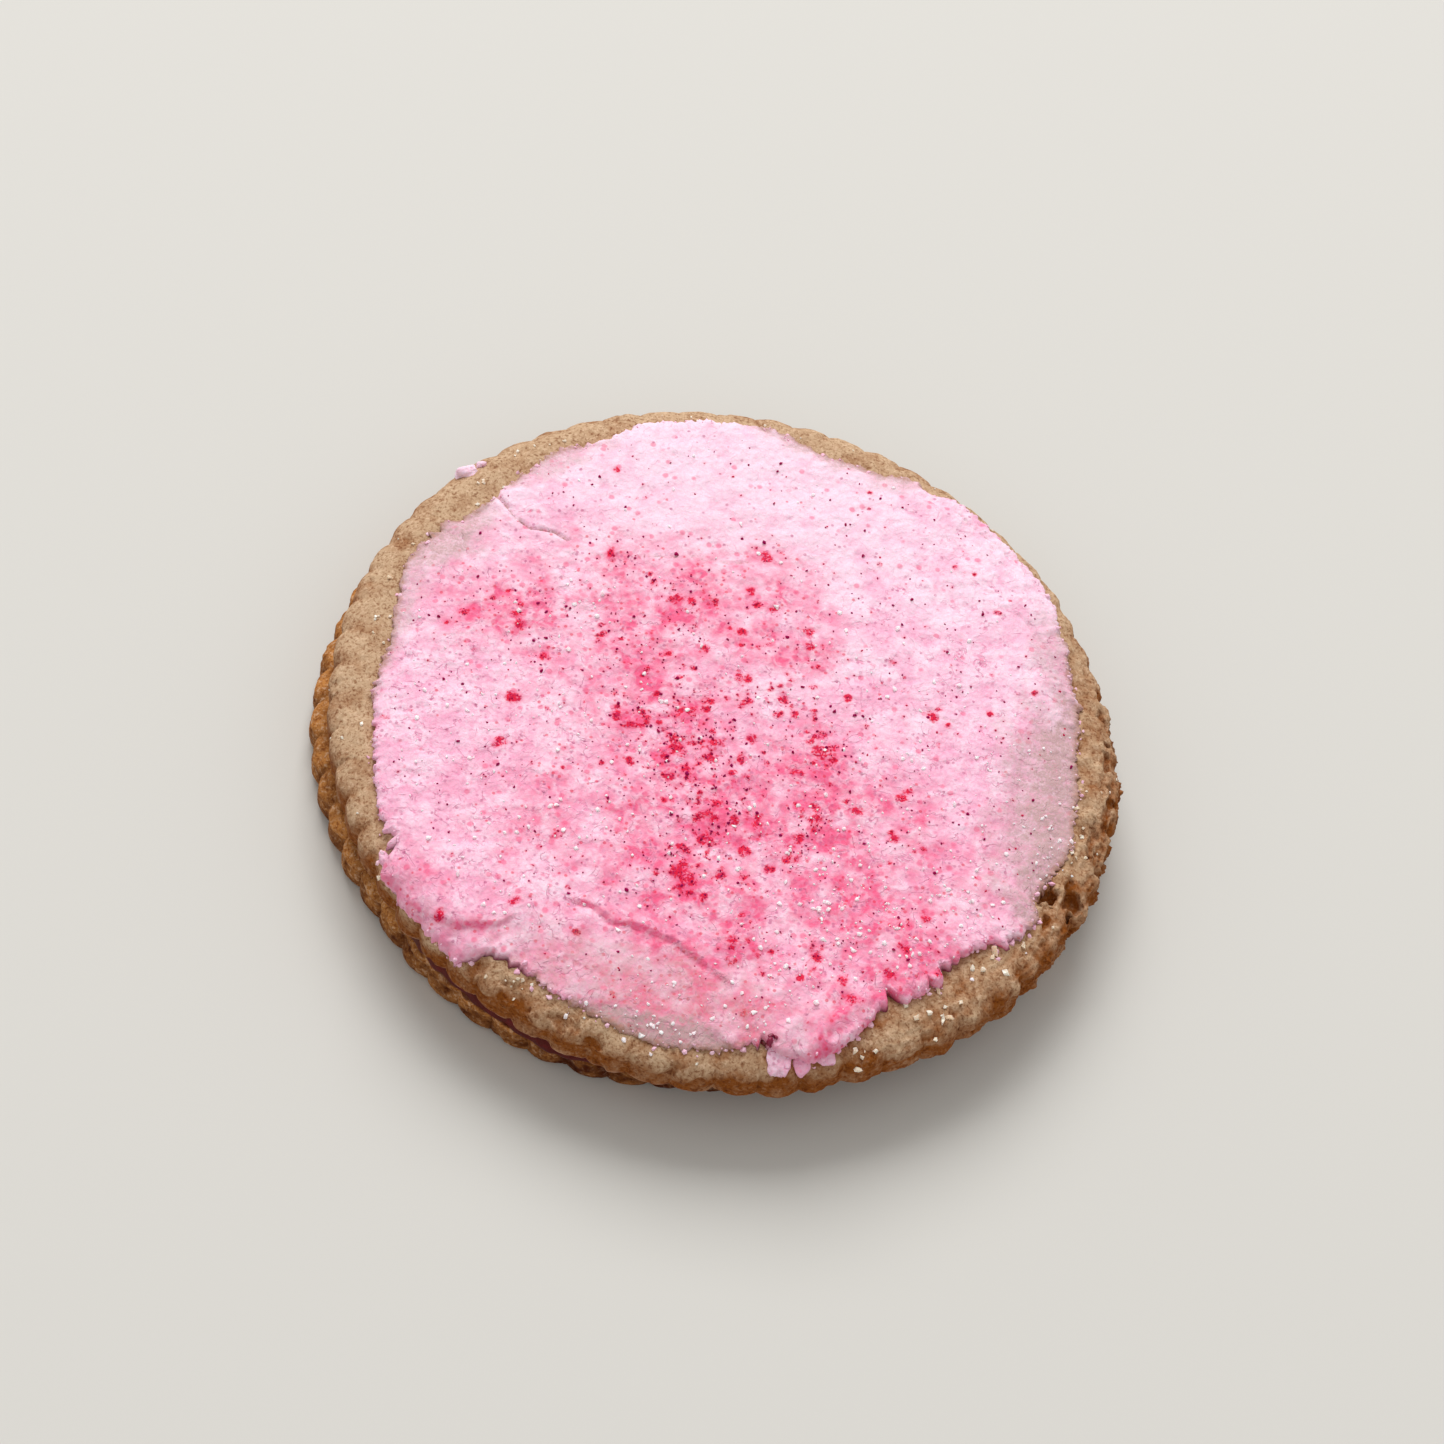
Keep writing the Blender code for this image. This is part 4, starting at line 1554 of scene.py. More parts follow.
    def outline(self, bm: bmesh.types.BMesh) -> None:
        """Turn the square grid into a disc of even cells, and pull its edge out to the ragged outline.

        Args:
            bm: the grid, from -1 to 1 each way.
        """
        for vert in bm.verts:
            u, v = vert.co.x, vert.co.y
            if u * u > v * v:
                share, turn = u, math.pi / 4 * v / u
            elif v != 0.0:
                share, turn = v, math.pi / 2 - math.pi / 4 * u / v
            else:
                share, turn = 0.0, 0.0
            x, y = share * math.cos(turn), share * math.sin(turn)
            theta, share = math.atan2(y, x), abs(share)
            plain = self.smooth_reach(theta)
            radius = plain * share + smooth(share, 0.93, 1.0) * (self.edge(theta) - plain)
            vert.co = turned(radius, theta)

    def drawn(self, x: float, y: float) -> tuple[float, float, float, float, float]:
        """What the lines do at a place.

        Args:
            x, y: the place.

        Returns:
            The place, drawn onto a crack that is very near, how raised it is, how much painted shade darkens
            a crack, and how much red painted shade lies at the foot of a ledge.
        """
        raised, dark, red = 0.0, 0.0, 0.0
        for line in self.lines:
            near = line.near(x, y)
            if near is None:
                continue
            if line.depth and near.away < self.snap:
                x, y = near.x, near.y
            raised += (line.ridge - line.depth) * plateau(near.away, line.half_width, 2)
            fade = smooth(near.from_end, 0.0, 1.5 * MM)
            side = near.side * smooth(near.away, 0.0, 0.1 * MM)
            raised += 0.5 * line.lift * fade * side * bell(near.away, line.reach)
            if line.lift:
                # red painted shade at the foot of a ledge
                red += line.shade * bell(near.away, 1.4 * line.half_width) * fade
            else:
                # painted shade in a crack
                dark += line.shade * bell(near.away, line.half_width)
        return x, y, raised, dark, red

    def drape(self, bm: bmesh.types.BMesh) -> None:
        """Lay the disc on the biscuit at its thickness, and note what the finish needs at each vertex.

        Args:
            bm: the flat disc.
        """
        names = ("stain", "wash_and_shade", "pale", "thin", "bare", "foot")
        layers = {name: bm.verts.layers.float.new(name) for name in names}
        for vert in bm.verts:
            x, y, raised, dark, red = self.drawn(vert.co.x, vert.co.y)
            theta, radius = polar(x, y)
            inside = self.edge(theta) - radius
            thin = self.thinness(x, y)
            height, lift = self.crumble(x, y, thin)
            further = self.smooth_reach(theta) - radius
            share = 0.46 + 0.36 * smooth(inside, -0.1 * MM, 0.4 * MM) + 0.18 * smooth(further, 0.0, 2.2 * MM)
            worn = 1.0 - 0.75 * thin * smooth(further, 3 * MM, 0.0)
            height += (CLEARANCE + share * self.thickness(x, y)) * worn
            crumbs = lumps(Vector((x, y, 0.0)), 0.55 * MM, 24)
            height += 0.16 * MM * smooth(further, 1.3 * MM, 0.3 * MM) * crumbs
            bed = self.filled_height(x, y)
            vert.co = Vector((x, y, bed + max(0.1 * MM, height + raised)))
            feather = smooth(further, 1.0 * MM, 0.0) * smooth(thin, 0.1, 0.5)
            vert[layers["thin"]] = thin
            # the biscuit showing at a feathered edge, and painted shade in the cracks
            vert[layers["bare"]] = min(1.0, feather + dark)
            # soaked red, with red painted shade at the foot of ledges
            vert[layers["wash_and_shade"]] = min(0.95, self.wash_and_shade(x, y) + red)
            # painted light and shade: whiter on raised plaques and less white in dents
            vert[layers["pale"]] = self.paleness_and_light(x, y) + 0.5 * (lift - 0.5)

    def wash_and_shade(self, x: float, y: float) -> float:
        """How far red has soaked into the icing, with painted shade added towards its near edge.

        Args:
            x, y: the place.

        Returns:
            The share, from 0 to 1.
        """
        soaked = sum(wash_and_shade.at(x, y) for wash_and_shade in self.washes)
        # painted shade: redder towards the near edge
        near_edge_shade = smooth(math.hypot(x, y) - 0.3 * y, 34 * MM, 41 * MM)
        soaked += 0.25 * self.jelly.density(x, y) + 0.25 * near_edge_shade
        place = Vector((x, y, 0.0))
        soaked *= 1.0 + 1.0 * lumps(place, 2.8 * MM, 41) + 0.5 * lumps(place, 1.3 * MM, 42)
        return min(0.95, max(0.0, soaked))

    def paleness_and_light(self, x: float, y: float) -> float:
        """How white the unsoaked icing is, with painted light: whitest on the far side, and less so towards
        the near one.

        Args:
            x, y: the place.

        Returns:
            The share, from 0 to 1.
        """
        place = Vector((x, y, 0.0))
        # painted light: whiter towards the far side and round the far middle, with random lumps of tone
        pale = 0.4 + 0.25 * smooth(y, -12 * MM, 24 * MM) + 0.25 * lumps(place, 5.0 * MM, 43)
        pale += 0.6 * bell(math.hypot(x + 3 * MM, y - 27 * MM), 12 * MM)
        return min(1.0, max(0.0, pale))

    def stain(self, bm: bmesh.types.BMesh) -> None:
        """Redden the icing round every jelly crystal.

        Args:
            bm: the draped icing.
        """
        layer = bm.verts.layers.float["stain"]
        verts = list(bm.verts)
        tree = KDTree(len(verts))
        for index, vert in enumerate(verts):
            tree.insert((vert.co.x, vert.co.y, 0.0), index)
        tree.balance()
        for x, y, radius, strength in self.jelly.halos:
            for _, index, away in tree.find_range((x, y, 0.0), 2.0 * radius):
                vert = verts[index]
                vert[layer] += strength * bell(away, radius) * (1.0 - vert[layer])

    def close(self, bm: bmesh.types.BMesh) -> None:
        """Turn the edge down to the biscuit, a little undercut, and close the underside inside it.

        The edge goes down in three stages: its belly, its foot, and a seat just under the crust. Its foot
        carries a dark red painted shadow.

        Args:
            bm: the draped icing, which is open below.
        """
        foot_shadow_layer = bm.verts.layers.float["foot"]
        for stage in range(3):
            rim = [edge for edge in bm.edges if edge.is_boundary]
            made = bmesh.ops.extrude_edge_only(bm, edges=rim)["geom"]
            for vert in (item for item in made if isinstance(item, bmesh.types.BMVert)):
                theta, radius = polar(vert.co.x, vert.co.y)
                mark = min(1.0, sum(foot_shadow.swell(theta) for foot_shadow in self.foot_shadows))
                ragged = 0.12 * MM * ring_noise(theta, 95.0, 16 + stage)
                radius += (ragged, ragged - 0.12 * MM + 0.4 * MM * mark, -0.1 * MM)[stage]
                x, y = radius * math.cos(theta), radius * math.sin(theta)
                bed = self.bed_height(x, y)
                vert.co = Vector((x, y, (0.5 * (vert.co.z + bed), bed + 0.03 * MM, bed - 0.06 * MM)[stage]))
                # painted shadow under the edge, darkest at the marked places
                vert[foot_shadow_layer] = (0.0, 0.14, 0.2)[stage] + (0.3, 0.8, 0.8)[stage] * mark
        rim = [edge for edge in bm.edges if edge.is_boundary]
        under = bmesh.ops.contextual_create(bm, geom=rim)["faces"]
        centre = bmesh.ops.poke(bm, faces=under)["verts"][0]
        centre.co = Vector((0.0, 0.0, self.biscuit.top - 0.3 * MM))
        bmesh.ops.recalc_face_normals(bm, faces=bm.faces)

    def build(self) -> BVHTree:
        """Make the icing.

        Returns:
            Its surface, for what lies on it.
        """
        bm = bmesh.new()
        bmesh.ops.create_grid(bm, x_segments=self.cells, y_segments=self.cells, size=1.0)
        self.outline(bm)
        self.drape(bm)
        self.stain(bm)
        self.close(bm)
        bm.transform(Matrix.Translation((*self.biscuit.centre, 0.0)))
        surface = BVHTree.FromBMesh(bm)
        add_piece(bm, "icing_spread", IcingFinish("pink_icing").make(), stands_for="icing")
        return surface


# ---------------------------------------------------------------- what is strewn on it


class Shape(Enum):
    """What a small piece is made from."""

    CRYSTAL = "a cube with uneven corners"
    DROP = "a ball with twenty uneven faces"
    CRUMB = "a ball with eighty uneven faces"


@dataclass
class Strewing:
    """Many small pieces of one kind, joined into one mesh, each partly sunk in what it lies on."""

    name: str
    shape: Shape
    finish: CrystalFinish
    seed: int
    centre: tuple[float, float]
    sink: float = 0.25  # how far a piece's middle stands above the surface, as a share of its half size
    flat: bool = True
    batch_size: int = 80
    batches: list[bpy.types.Mesh] = field(default_factory=list)

    def __post_init__(self) -> None:
        """Start the first batch."""
        self.rng = random.Random(self.seed)
        self.start_batch()

    def start_batch(self) -> None:
        """Begin a small mesh, because adding to a large one is slow."""
        self.bm = bmesh.new()
        self.shade = self.bm.verts.layers.float.new("shade")
        self.laid = 0

    def end_batch(self) -> None:
        """Put the small mesh aside."""
        mesh = bpy.data.meshes.new(f"{self.name}_batch")
        self.bm.to_mesh(mesh)
        self.bm.free()
        self.batches.append(mesh)

    def lay(self, x: float, y: float, half: float, surface: BVHTree) -> None:
        """Put one piece down, if there is anything under it.

        Args:
            x, y: the place, from the top biscuit's centre.
            half: half the piece's size.
            surface: what it lies on.
        """
        rng = self.rng
        point, normal = top_of(surface, x, y, self.centre)
        if point is None:
            return
        turn = Euler([rng.uniform(0, math.tau) for _ in range(3)]).to_matrix().to_4x4()
        ranges = (0.9, 1.25), (0.75, 1.1), (0.65, 1.0)
        stretch = Matrix.Diagonal((*(rng.uniform(*limits) for limits in ranges), 1.0))
        matrix = Matrix.Translation(point + normal * (self.sink * half)) @ turn @ stretch
        if self.shape is Shape.CRYSTAL:
            made = bmesh.ops.create_cube(self.bm, size=1.6 * half, matrix=matrix)
        else:
            fineness = 1 if self.shape is Shape.DROP else 2
            made = bmesh.ops.create_icosphere(self.bm, subdivisions=fineness, radius=half, matrix=matrix)
        middle, shade, pattern = matrix.translation, rng.random(), rng.uniform(0.0, 99.0)
        for vert in made["verts"]:
            away = vert.co - middle
            vert.co += away * (rng.uniform(-0.12, 0.12) + 0.9 * lumps(away / half, 1.1, pattern))
            vert[self.shade] = shade
        self.laid += 1
        if self.laid == self.batch_size:
            self.end_batch()
            self.start_batch()

    def build(self) -> None:
        """Join the pieces into one object."""
        self.end_batch()
        joined = bmesh.new()
        for mesh in self.batches:
            joined.from_mesh(mesh)
            bpy.data.meshes.remove(mesh)
        add_piece(joined, self.name, self.finish.make(), flat=self.flat)


@dataclass(frozen=True)
class Drift:
    """A place where sugar has gathered: round which point, how widely and how many grains."""

    lengths = range(4)
    x: float
    y: float
    spread_x: float
    spread_y: float
    count: int

    def places(self, rng: random.Random) -> list[tuple[float, float]]:
        """Where its grains lie."""
        spreads = (self.x, self.spread_x), (self.y, self.spread_y)
        return [tuple(rng.gauss(*spread) for spread in spreads) for _ in range(self.count)]


@dataclass(frozen=True)
class Fold:
    """A rounded tongue, flake or lump of icing. Its half sizes are in millimetres."""

    lengths = range(2)
    x: float
    y: float
    half_length: float
    half_width: float
    half_height: float
    heading_deg: float

    def add_to(
        self, bm: bmesh.types.BMesh, surface: BVHTree, centre: tuple[float, float], seed: float
    ) -> None:
        """Lay it on a surface, tilted as the surface is there.

        Args:
            bm: the mesh that it goes into.
            surface: what it lies on.
            centre: the biscuit's centre.
            seed: picks its lumps.
        """
        point, normal = top_of(surface, self.x, self.y, centre)
        tilt = normal.to_track_quat("Z", "Y").to_matrix()
        ahead = tilt.inverted() @ turned(1.0, math.radians(self.heading_deg))
        turn = Matrix.Rotation(math.atan2(ahead.y, ahead.x), 3, "Z")
        for vert in bmesh.ops.create_icosphere(bm, subdivisions=4, radius=1.0)["verts"]:
            place = vert.co.copy()
            bulk = 1.0 + 0.35 * lumps(place, 0.8, seed) + 0.14 * lumps(place, 0.3, seed + 1)
            wide = 0.85 + 0.15 * place.x
            sizes = place.x * self.half_length, place.y * self.half_width * wide, place.z * self.half_height
            vert.co = point + tilt @ turn @ (Vector(sizes) * bulk * MM)


@dataclass
class Topping:
    """Everything that is strewn on the icing and the rim."""

    icing: SpreadIcing
    jelly: JellyCrystals
    icing_surface: BVHTree
    rim_surface: BVHTree
    sugar_count: int = 480
    rim_sugar_count: int = 70
    speck_count: int = 600
    crumb_count: int = 330
    limit: float = 30.0 * MM
    rim_ring: tuple[float, float] = (30.5 * MM, 34.3 * MM)  # between which radii grains lie on the bare rim
    sugar_drifts: tuple[Drift, ...] = table(
        Drift,
        (-1.5, -31.8, 2.6, 0.8, 34), (6.5, -30.0, 1.8, 1.2, 16), (29.8, -7.0, 0.8, 2.2, 22),
        (11.5, -14.5, 3.4, 3.4, 70), (15.5, -20.0, 3.0, 2.0, 40), (9.0, -24.5, 3.0, 2.0, 30),
        (-13.5, 8.0, 1.4, 1.0, 12), (-8.0, -4.0, 4.5, 4.5, 26), (21.5, -16.0, 2.5, 2.5, 26),
    )
    rim_drifts: tuple[Drift, ...] = table(
        Drift,
        (-24.3, 14.3, 0.9, 1.0, 10), (31.0, -5.5, 0.6, 2.0, 10), (-12.5, -30.5, 1.6, 0.7, 8),
        (-31.0, 2.5, 0.9, 2.6, 6),
    )
    rim_grains: tuple[tuple[float, float], ...] = (  # x and y in millimetres
        (21.5, -23.0), (19.0, -25.0), (20.0, -25.9), (21.0, -25.1), (22.2, -25.3), (22.6, -25.0),
        (24.0, -20.1), (24.8, -20.0), (25.6, -18.0), (25.5, -18.7), (26.8, -19.8), (15.5, -29.9),
        (16.2, -30.1), (17.2, -29.4), (16.0, -30.9), (21.9, -26.8), (27.9, -16.8), (23.4, -23.5),
        (31.6, -4.6),
    )
    edge_crumbs: tuple[tuple[float, float, float], ...] = (  # x, y and half size in millimetres
        (26.2, -17.3, 0.34), (26.9, -16.9, 0.3), (27.6, -16.2, 0.34), (28.3, -15.7, 0.3),
        (25.8, -18.0, 0.3), (26.0, -18.7, 0.22), (24.6, -17.6, 0.3), (23.6, -18.6, 0.3),
        (22.6, -19.1, 0.34), (21.6, -20.6, 0.3), (21.0, -22.4, 0.34), (20.4, -23.2, 0.34),
        (19.6, -23.9, 0.38), (18.6, -24.4, 0.38), (17.9, -24.1, 0.3), (-25.6, -20.6, 0.4),
        (-25.2, -21.5, 0.36), (-25.9, -21.0, 0.3), (4.2, -32.8, 0.3), (5.2, -32.4, 0.25),
        (6.6, -32.1, 0.3), (2.0, -33.3, 0.25), (-0.5, -33.5, 0.25), (28.6, -14.9, 0.3),
        (28.9, -14.3, 0.26), (29.6, -10.1, 0.3), (29.0, -10.7, 0.3), (16.4, -27.3, 0.34),
        (15.6, -28.8, 0.3), (14.2, -30.3, 0.3), (-17.3, -29.1, 0.34), (-16.4, -28.9, 0.26),
        (-12.6, -29.3, 0.26), (-11.2, -30.4, 0.3), (-9.6, -30.9, 0.26),
    )
    clots: tuple[tuple[float, float, float], ...] = (  # x, y and half size in millimetres
        (8.2, -31.1, 0.32), (8.7, -31.3, 0.36), (8.5, -30.8, 0.3), (9.0, -30.9, 0.24),
    )
    folds: tuple[Fold, ...] = table(
        Fold,
        (9.6, -31.8, 1.9, 1.1, 0.4, -86), (11.3, -31.0, 1.9, 0.95, 0.36, -80),
        (12.8, -30.0, 1.8, 0.9, 0.3, -66), (-25.4, -20.9, 0.9, 0.6, 0.3, -55),
        (-27.2, 20.9, 1.15, 0.85, 0.75, 40), (-26.2, 21.9, 0.5, 0.42, 0.4, 10),
    )

    def on_icing(self, x: float, y: float) -> bool:
        """Whether icing lies here."""
        return math.hypot(x, y) < self.icing.edge(math.atan2(y, x)) - 0.1 * MM

    def surface_at(self, x: float, y: float) -> BVHTree:
        """What a piece lies on here."""
        return self.icing_surface if self.on_icing(x, y) else self.rim_surface

    def strewing(
        self, name: str, shape: Shape, finish: CrystalFinish, seed: int, **more: float | bool
    ) -> Strewing:
        """A new kind of small piece on this biscuit."""
        return Strewing(name, shape, finish, seed, self.icing.biscuit.centre, **more)

    def add_jelly(self) -> None:
        """Lay down the red crystals that were already chosen."""
        finish = CrystalFinish("red_jelly", Hue.JELLY_LIGHT, Hue.JELLY_DARK, 0.5, glow=0.3, gloss=0.2)
        pieces = self.strewing("jelly_crystals", Shape.DROP, finish, 31, sink=-0.3)
        for x, y, half in self.jelly.places:
            if self.on_icing(x, y):
                pieces.lay(x, y, half, self.icing_surface)
        pieces.build()

    def add_clots(self) -> None:
        """The few largest clots of jelly, by the icing's edge."""
        finish = CrystalFinish("dark_jelly", Hue.JAM_CLOT, Hue.JELLY_DARK, 0.35)
        pieces = self.strewing("jelly_clots", Shape.CRUMB, finish, 36, sink=0.0, flat=False)
        for x, y, half in self.clots:
            pieces.lay(x * MM, y * MM, half * MM, self.surface_at(x * MM, y * MM))
        pieces.build()

    def add_specks(self) -> None:
        """Dark purple specks: half of them by the jelly, and the rest evenly strewn."""
        finish = CrystalFinish("dark_speck", Hue.SPECK, Hue.JELLY_DARK, 0.8, glow=0.2, gloss=0.05)
        pieces = self.strewing("dark_specks", Shape.DROP, finish, 32, sink=0.1)
        rng = pieces.rng
        for index in range(self.speck_count):
            x, y = place_in_ring(rng, 0.0, self.limit) if index % 2 else self.jelly.pick(rng, 0.0)
            pieces.lay(x, y, min(0.18, 0.07 + rng.expovariate(26.0)) * MM, self.surface_at(x, y))
        pieces.build()

    def add_sugar(self) -> None:
        """Fine sugar on the icing, with drifts where it gathered."""
        # painted glow: the sugar emits a little of its own colour
        finish = CrystalFinish("sugar", Hue.SUGAR, Hue.SUGAR_SHADE, 0.4, glow=0.8, shine=0.1)
        pieces = self.strewing("sugar_grains", Shape.DROP, finish, 33, sink=0.0)
        rng = pieces.rng
        places = []
        while len(places) < self.sugar_count:
            x, y = place_in_ring(rng, 0.0, self.limit)
            if rng.random() < smooth(y - 0.2 * x, 18 * MM, -8 * MM) + 0.15:
                places.append((x, y))
        for drift in self.sugar_drifts:
            places += drift.places(rng)
        for x, y in places:
            pieces.lay(x, y, min(0.24, 0.08 + rng.expovariate(16.0)) * MM, self.surface_at(x, y))
        pieces.build()

    def add_rim_sugar(self) -> None:
        """Larger, clearer grains on the bare rim."""
        # painted glow: the rim grains emit a little of their own colour
        finish = CrystalFinish("rim_sugar", Hue.GRAIN, Hue.RIM_SUGAR, 0.3, glow=0.7, shine=0.05)
        pieces = self.strewing("rim_sugar", Shape.CRYSTAL, finish, 35, sink=0.1)
        rng = pieces.rng
        places = [place_in_ring(rng, *self.rim_ring) for _ in range(self.rim_sugar_count)]
        for drift in self.rim_drifts:
            places += drift.places(rng)
        for x, y in places:
            if not self.on_icing(x, y):
                pieces.lay(x, y, rng.uniform(0.08, 0.18) * MM, self.rim_surface)
        for x, y in self.rim_grains:
            pieces.lay(x * MM, y * MM, rng.uniform(0.2, 0.32) * MM, self.surface_at(x * MM, y * MM))
        pieces.build()

    def add_crumbs(self) -> None:
        """Loose crumbs of icing along its torn edge."""
        finish = CrystalFinish("icing_crumb", Hue.CRUMB_PINK, Hue.ICING_PINK, 0.7, glow=0.1)
        pieces = self.strewing("icing_crumbs", Shape.DROP, finish, 34, sink=-0.1)
        rng = pieces.rng
        for _ in range(self.crumb_count):
            theta = rng.uniform(0, math.tau)
            reach = self.icing.edge(theta) + rng.gauss(-0.05, 0.22) * MM
            x, y = reach * math.cos(theta), reach * math.sin(theta)
            pieces.lay(x, y, min(0.24, 0.07 + rng.expovariate(18.0)) * MM, self.surface_at(x, y))
        for x, y, half in self.edge_crumbs:
            pieces.lay(x * MM, y * MM, half * MM, self.rim_surface)
        pieces.build()

    def add_folds(self) -> None:
        """Lay the tongues and flakes of icing over the near edge, and the lump that fell on the far one."""
        bm = bmesh.new()
        for index, fold in enumerate(self.folds):
            fold.add_to(bm, self.rim_surface, self.icing.biscuit.centre, 50.0 + 3 * index)
        pale, wash_and_shade = (bm.verts.layers.float.new(name) for name in ("pale", "wash_and_shade"))
        for vert in bm.verts:
            # painted light: the far lump whiter, and the near folds less white and a little redder as painted
            # shade
            vert[pale], vert[wash_and_shade] = (0.5, 0.1) if vert.co.y < 0.0 else (1.0, 0.0)
        add_piece(bm, "icing_folds", IcingFinish("folded_icing").make())

    def build(self) -> None:
        """Strew every kind."""
        self.add_folds()
        self.add_jelly()
        self.add_clots()
        self.add_specks()
        self.add_sugar()
        self.add_rim_sugar()
        self.add_crumbs()


# ---------------------------------------------------------------- studio


@dataclass
class Studio:
    """A plain pale floor, soft light from above and behind, and the camera at the photograph's angle."""

    target: tuple[float, float, float] = (0.135 * MM, 1.591 * MM, 5.0 * MM)
    distance: float = 305.04 * MM
    elevation_deg: float = 54.45
    roll_deg: float = 11.64
    focal_mm: float = 87.3
    sensor_mm: float = 36.0
    floor_size: float = 3.0
    sky_colour: tuple[float, float, float, float] = (1.0, 0.985, 0.96, 1.0)
    sky_strength: float = 0.55
    lights: tuple[tuple[str, tuple[float, float, float], float, float], ...] = (
        ("window", (-0.25, 0.95, 1.0), 0.9, 17.0),
        ("fill", (0.25, -0.55, 0.6), 0.8, 0.25),
    )  # name, place, size in metres and power in watts

    def add_camera(self) -> None:
        """Put the camera on the near side, looking down at the biscuit."""
        data = bpy.data.cameras.new("camera")
        data.lens, data.sensor_width = self.focal_mm, self.sensor_mm
        data.clip_start, data.clip_end = 0.01, 20.0
        camera = bpy.data.objects.new("camera", data)
        bpy.context.scene.collection.objects.link(camera)
        elevation = math.radians(self.elevation_deg)
        away = Vector((0.0, -math.cos(elevation), math.sin(elevation))) * self.distance
        tilt = Matrix.Rotation(math.pi / 2 - elevation, 4, "X")
        roll = Matrix.Rotation(math.radians(self.roll_deg), 4, "Z")
        camera.matrix_world = Matrix.Translation(Vector(self.target) + away) @ (tilt @ roll)
        bpy.context.scene.camera = camera

    def add_floor(self) -> None:
        """Lay a plain matt floor."""
        bm = bmesh.new()
        bmesh.ops.create_grid(bm, x_segments=1, y_segments=1, size=self.floor_size / 2)
        mesh = bpy.data.meshes.new("floor")
        bm.to_mesh(mesh)
        bm.free()
        s = Sketch("pale_floor")
        s.set(Base_Color=Hue.FLOOR, Roughness=0.9, Specular_IOR_Level=0.2)
        mesh.materials.append(s.material)
        floor = bpy.data.objects.new("floor", mesh)
        bpy.context.scene.collection.objects.link(floor)

    def add_light(self, name: str, place: tuple[float, float, float], size: float, power: float) -> None:
        """Hang a square soft light that faces the biscuit.

        Args:
            name: what it is called.
            place, size: where it hangs and how wide it is, in metres.
            power: in watts.
        """
        data = bpy.data.lights.new(name, "AREA")
        data.shape, data.size, data.energy = "SQUARE", size, power
        light = bpy.data.objects.new(name, data)
        light.location = place
        light.rotation_euler = (-Vector(place)).to_track_quat("-Z", "Y").to_euler()
        bpy.context.scene.collection.objects.link(light)

    def build(self) -> None:
        """Set everything up."""
        self.add_camera()
        self.add_floor()
        world = bpy.data.worlds.new("soft_sky")
        world.use_nodes = True
        sky = world.node_tree.nodes["Background"]
        sky.inputs["Color"].default_value = self.sky_colour
        sky.inputs["Strength"].default_value = self.sky_strength
        bpy.context.scene.world = world
        bpy.context.scene.view_settings.view_transform = "Standard"
        for light in self.lights:
            self.add_light(*light)


# ---------------------------------------------------------------- main

# Where jelly lies thickly: x, y and how widely, in millimetres, and how thickly.
BLOTCHES = table(
    Blotch,
    (-2.2, -5.5, 3.4, 0.95), (8.2, -10.6, 3.0, 0.72), (-0.7, -17.0, 3.2, 0.7), (-3.6, -0.5, 3.2, 0.66),
    (0.9, -11.3, 3.4, 0.64), (8.8, -2.8, 3.0, 0.66), (-8.0, -2.6, 3.0, 0.36), (-6.0, 10.8, 3.2, 0.55),
    (1.1, 8.9, 3.0, 0.45), (4.1, 2.5, 3.0, 0.42), (6.5, 7.0, 2.6, 0.42), (4.8, -22.6, 2.4, 0.34),
    (19.4, -17.9, 2.6, 0.34), (15.4, -9.6, 3.2, 0.36), (-9.2, 4.5, 4.0, 0.4), (11.1, -22.8, 3.2, 0.36),
    (-18.9, 5.7, 3.4, 0.4), (-23.6, 4.9, 2.0, 0.34), (0.5, 17.9, 1.8, 0.36), (-12.2, 13.6, 3.2, 0.36),
    (-18.3, -2.8, 2.4, 0.26), (-17.6, -10.6, 2.2, 0.16), (-11.8, -16.9, 3.0, 0.14), (0.0, -7.0, 15.0, 0.2),
)
# Where red has soaked into the icing: x, y and how widely, in millimetres, and how strongly.
WASHES = table(
    Blotch,
    (0.0, -12.0, 12.0, 0.5), (-6.0, 9.0, 8.0, 0.4), (-21.0, 6.0, 6.0, 0.5), (0.0, -28.0, 10.0, 0.35),
    (14.0, -22.0, 7.0, 0.4), (8.0, -8.0, 6.0, 0.15), (-4.0, -5.0, 5.0, 0.15), (1.0, 14.0, 5.0, 0.3),
    (-14.0, -12.0, 8.0, 0.1), (5.0, 8.0, 4.0, 0.36), (13.0, -9.0, 5.0, 0.34), (-10.0, 2.0, 6.0, 0.08),
    (19.0, -20.0, 5.0, 0.5), (-14.0, 12.0, 5.0, 0.15), (-20.0, -20.0, 6.0, 0.12), (8.0, -2.0, 3.5, 0.28),
    (22.0, -12.0, 6.0, 0.2), (1.0, 4.5, 3.0, -0.2), (5.0, 0.5, 3.0, -0.25), (0.5, -2.0, 2.5, -0.25),
    (7.0, 5.0, 2.5, -0.2),
)
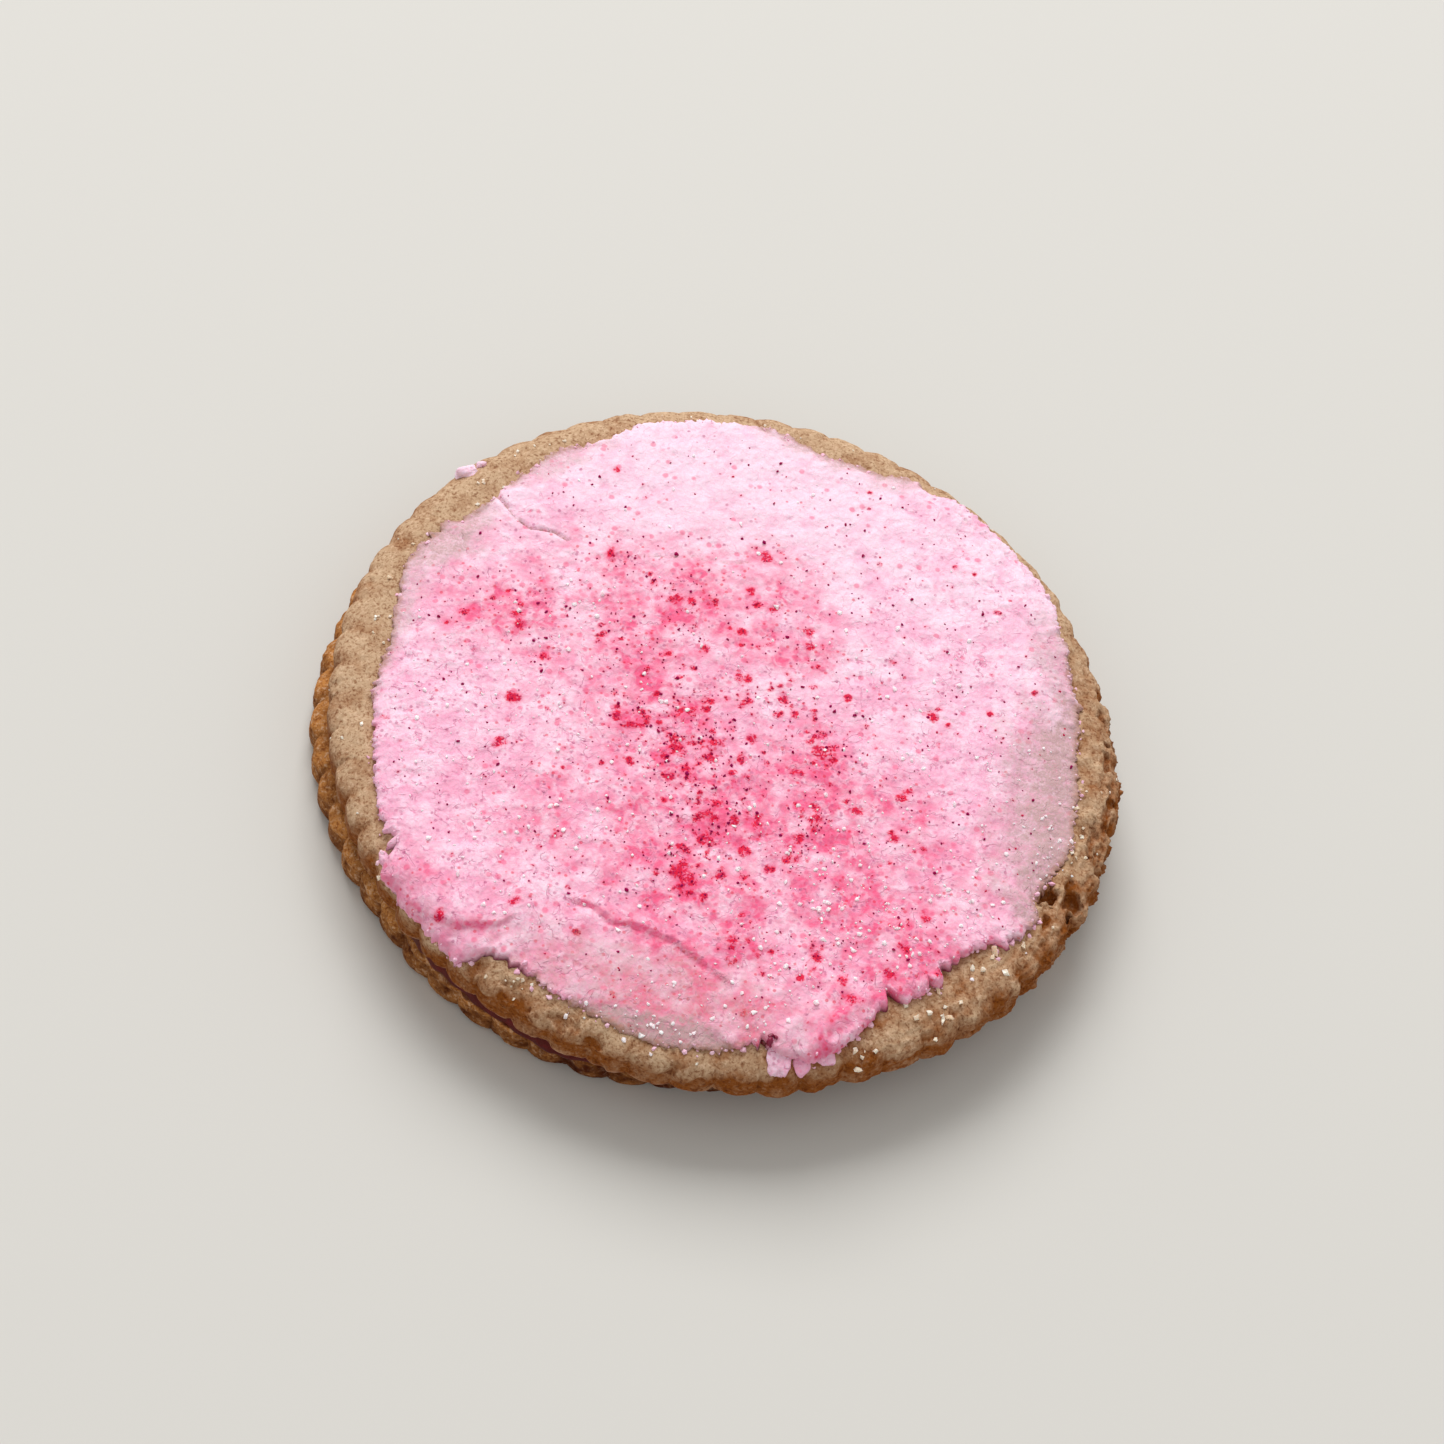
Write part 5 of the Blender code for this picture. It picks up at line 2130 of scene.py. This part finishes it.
# The plainest clusters of jelly: x, y and size in millimetres.
SPOTS = (
    (-3.9, -1.0, 0.9), (2.3, -2.3, 0.6), (-3.6, -5.0, 0.8), (-1.4, -5.4, 0.7), (-2.4, -7.0, 0.5),
    (-3.7, -8.1, 0.45), (8.4, -2.3, 0.9), (9.5, -3.3, 0.5), (-9.3, -2.8, 0.6), (-8.0, -3.8, 0.5),
    (-18.4, -3.4, 0.8), (-18.3, -8.3, 0.9), (-24.3, 4.5, 1.0), (-19.3, 4.6, 0.5), (-19.9, 5.4, 0.3),
    (-16.8, 1.5, 0.6), (-12.7, 13.8, 0.7), (-6.5, 10.6, 0.9), (-5.2, 10.8, 0.6), (0.3, 17.3, 0.8),
    (-0.3, 8.2, 0.5), (-3.1, 5.6, 0.5), (0.6, 11.5, 0.5), (2.0, 11.5, 0.5), (5.1, 10.0, 0.7),
    (6.0, 8.3, 0.5), (0.3, 3.4, 0.4), (1.0, 3.6, 0.3), (4.4, 2.4, 0.6), (5.6, 1.0, 0.4), (1.2, 1.2, 0.4),
    (-2.0, 0.6, 0.4), (9.8, 3.5, 0.3), (-0.2, 13.2, 0.5), (-3.2, 11.2, 0.4), (2.0, -4.9, 0.4),
    (6.6, -5.0, 0.5), (-7.2, -7.5, 0.5), (0.6, -10.0, 0.4), (2.2, -11.4, 0.4), (4.3, -11.0, 0.5),
    (7.6, -11.6, 0.6), (8.9, -8.5, 0.6), (-0.5, -11.5, 0.4), (-0.3, -19.3, 0.4), (1.0, -19.2, 0.4),
    (2.2, -16.6, 0.5), (3.5, -14.2, 0.7), (7.4, -13.8, 0.5), (0.2, -13.9, 0.4), (-1.9, -14.8, 0.4),
    (3.8, -22.8, 0.7), (4.3, -24.8, 0.5), (11.2, -22.4, 0.6), (10.0, -24.9, 0.4), (13.5, -24.3, 0.5),
    (14.5, -26.3, 0.6), (-14.2, -23.6, 0.6), (-19.8, -25.8, 0.6), (6.2, -29.0, 0.4), (-4.5, -30.2, 0.5),
    (-2.4, -32.4, 0.4), (16.2, -4.8, 0.4), (16.0, -5.5, 0.4), (12.2, -7.6, 0.6), (15.9, -9.5, 0.4),
    (19.3, -17.0, 0.5), (18.0, -20.5, 0.7), (17.5, -23.0, 0.6), (21.2, -21.9, 0.3), (17.1, 3.6, 0.6),
    (-8.3, -25.0, 0.4), (-1.4, -17.4, 0.7), (-0.4, -17.9, 0.6), (-1.0, -16.6, 0.5),
)


def main() -> None:
    """Load the frame, build the biscuit from the bottom up, and set up the studio."""
    logging.basicConfig(level=logging.INFO, format="%(name)s: %(message)s")
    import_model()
    bottom, top = bottom_biscuit(), top_biscuit()
    bottom.build()
    JamLayer(bottom, top).build()
    rim_surface = top.build()
    jelly = JellyCrystals(BLOTCHES, SPOTS)
    jelly.strew()
    icing = SpreadIcing(top, rim_surface, jelly, WASHES)
    icing_surface = icing.build()
    Topping(icing, jelly, icing_surface, rim_surface).build()
    Studio().build()
    log.info("visual model built")


if __name__ == "__main__":
    main()
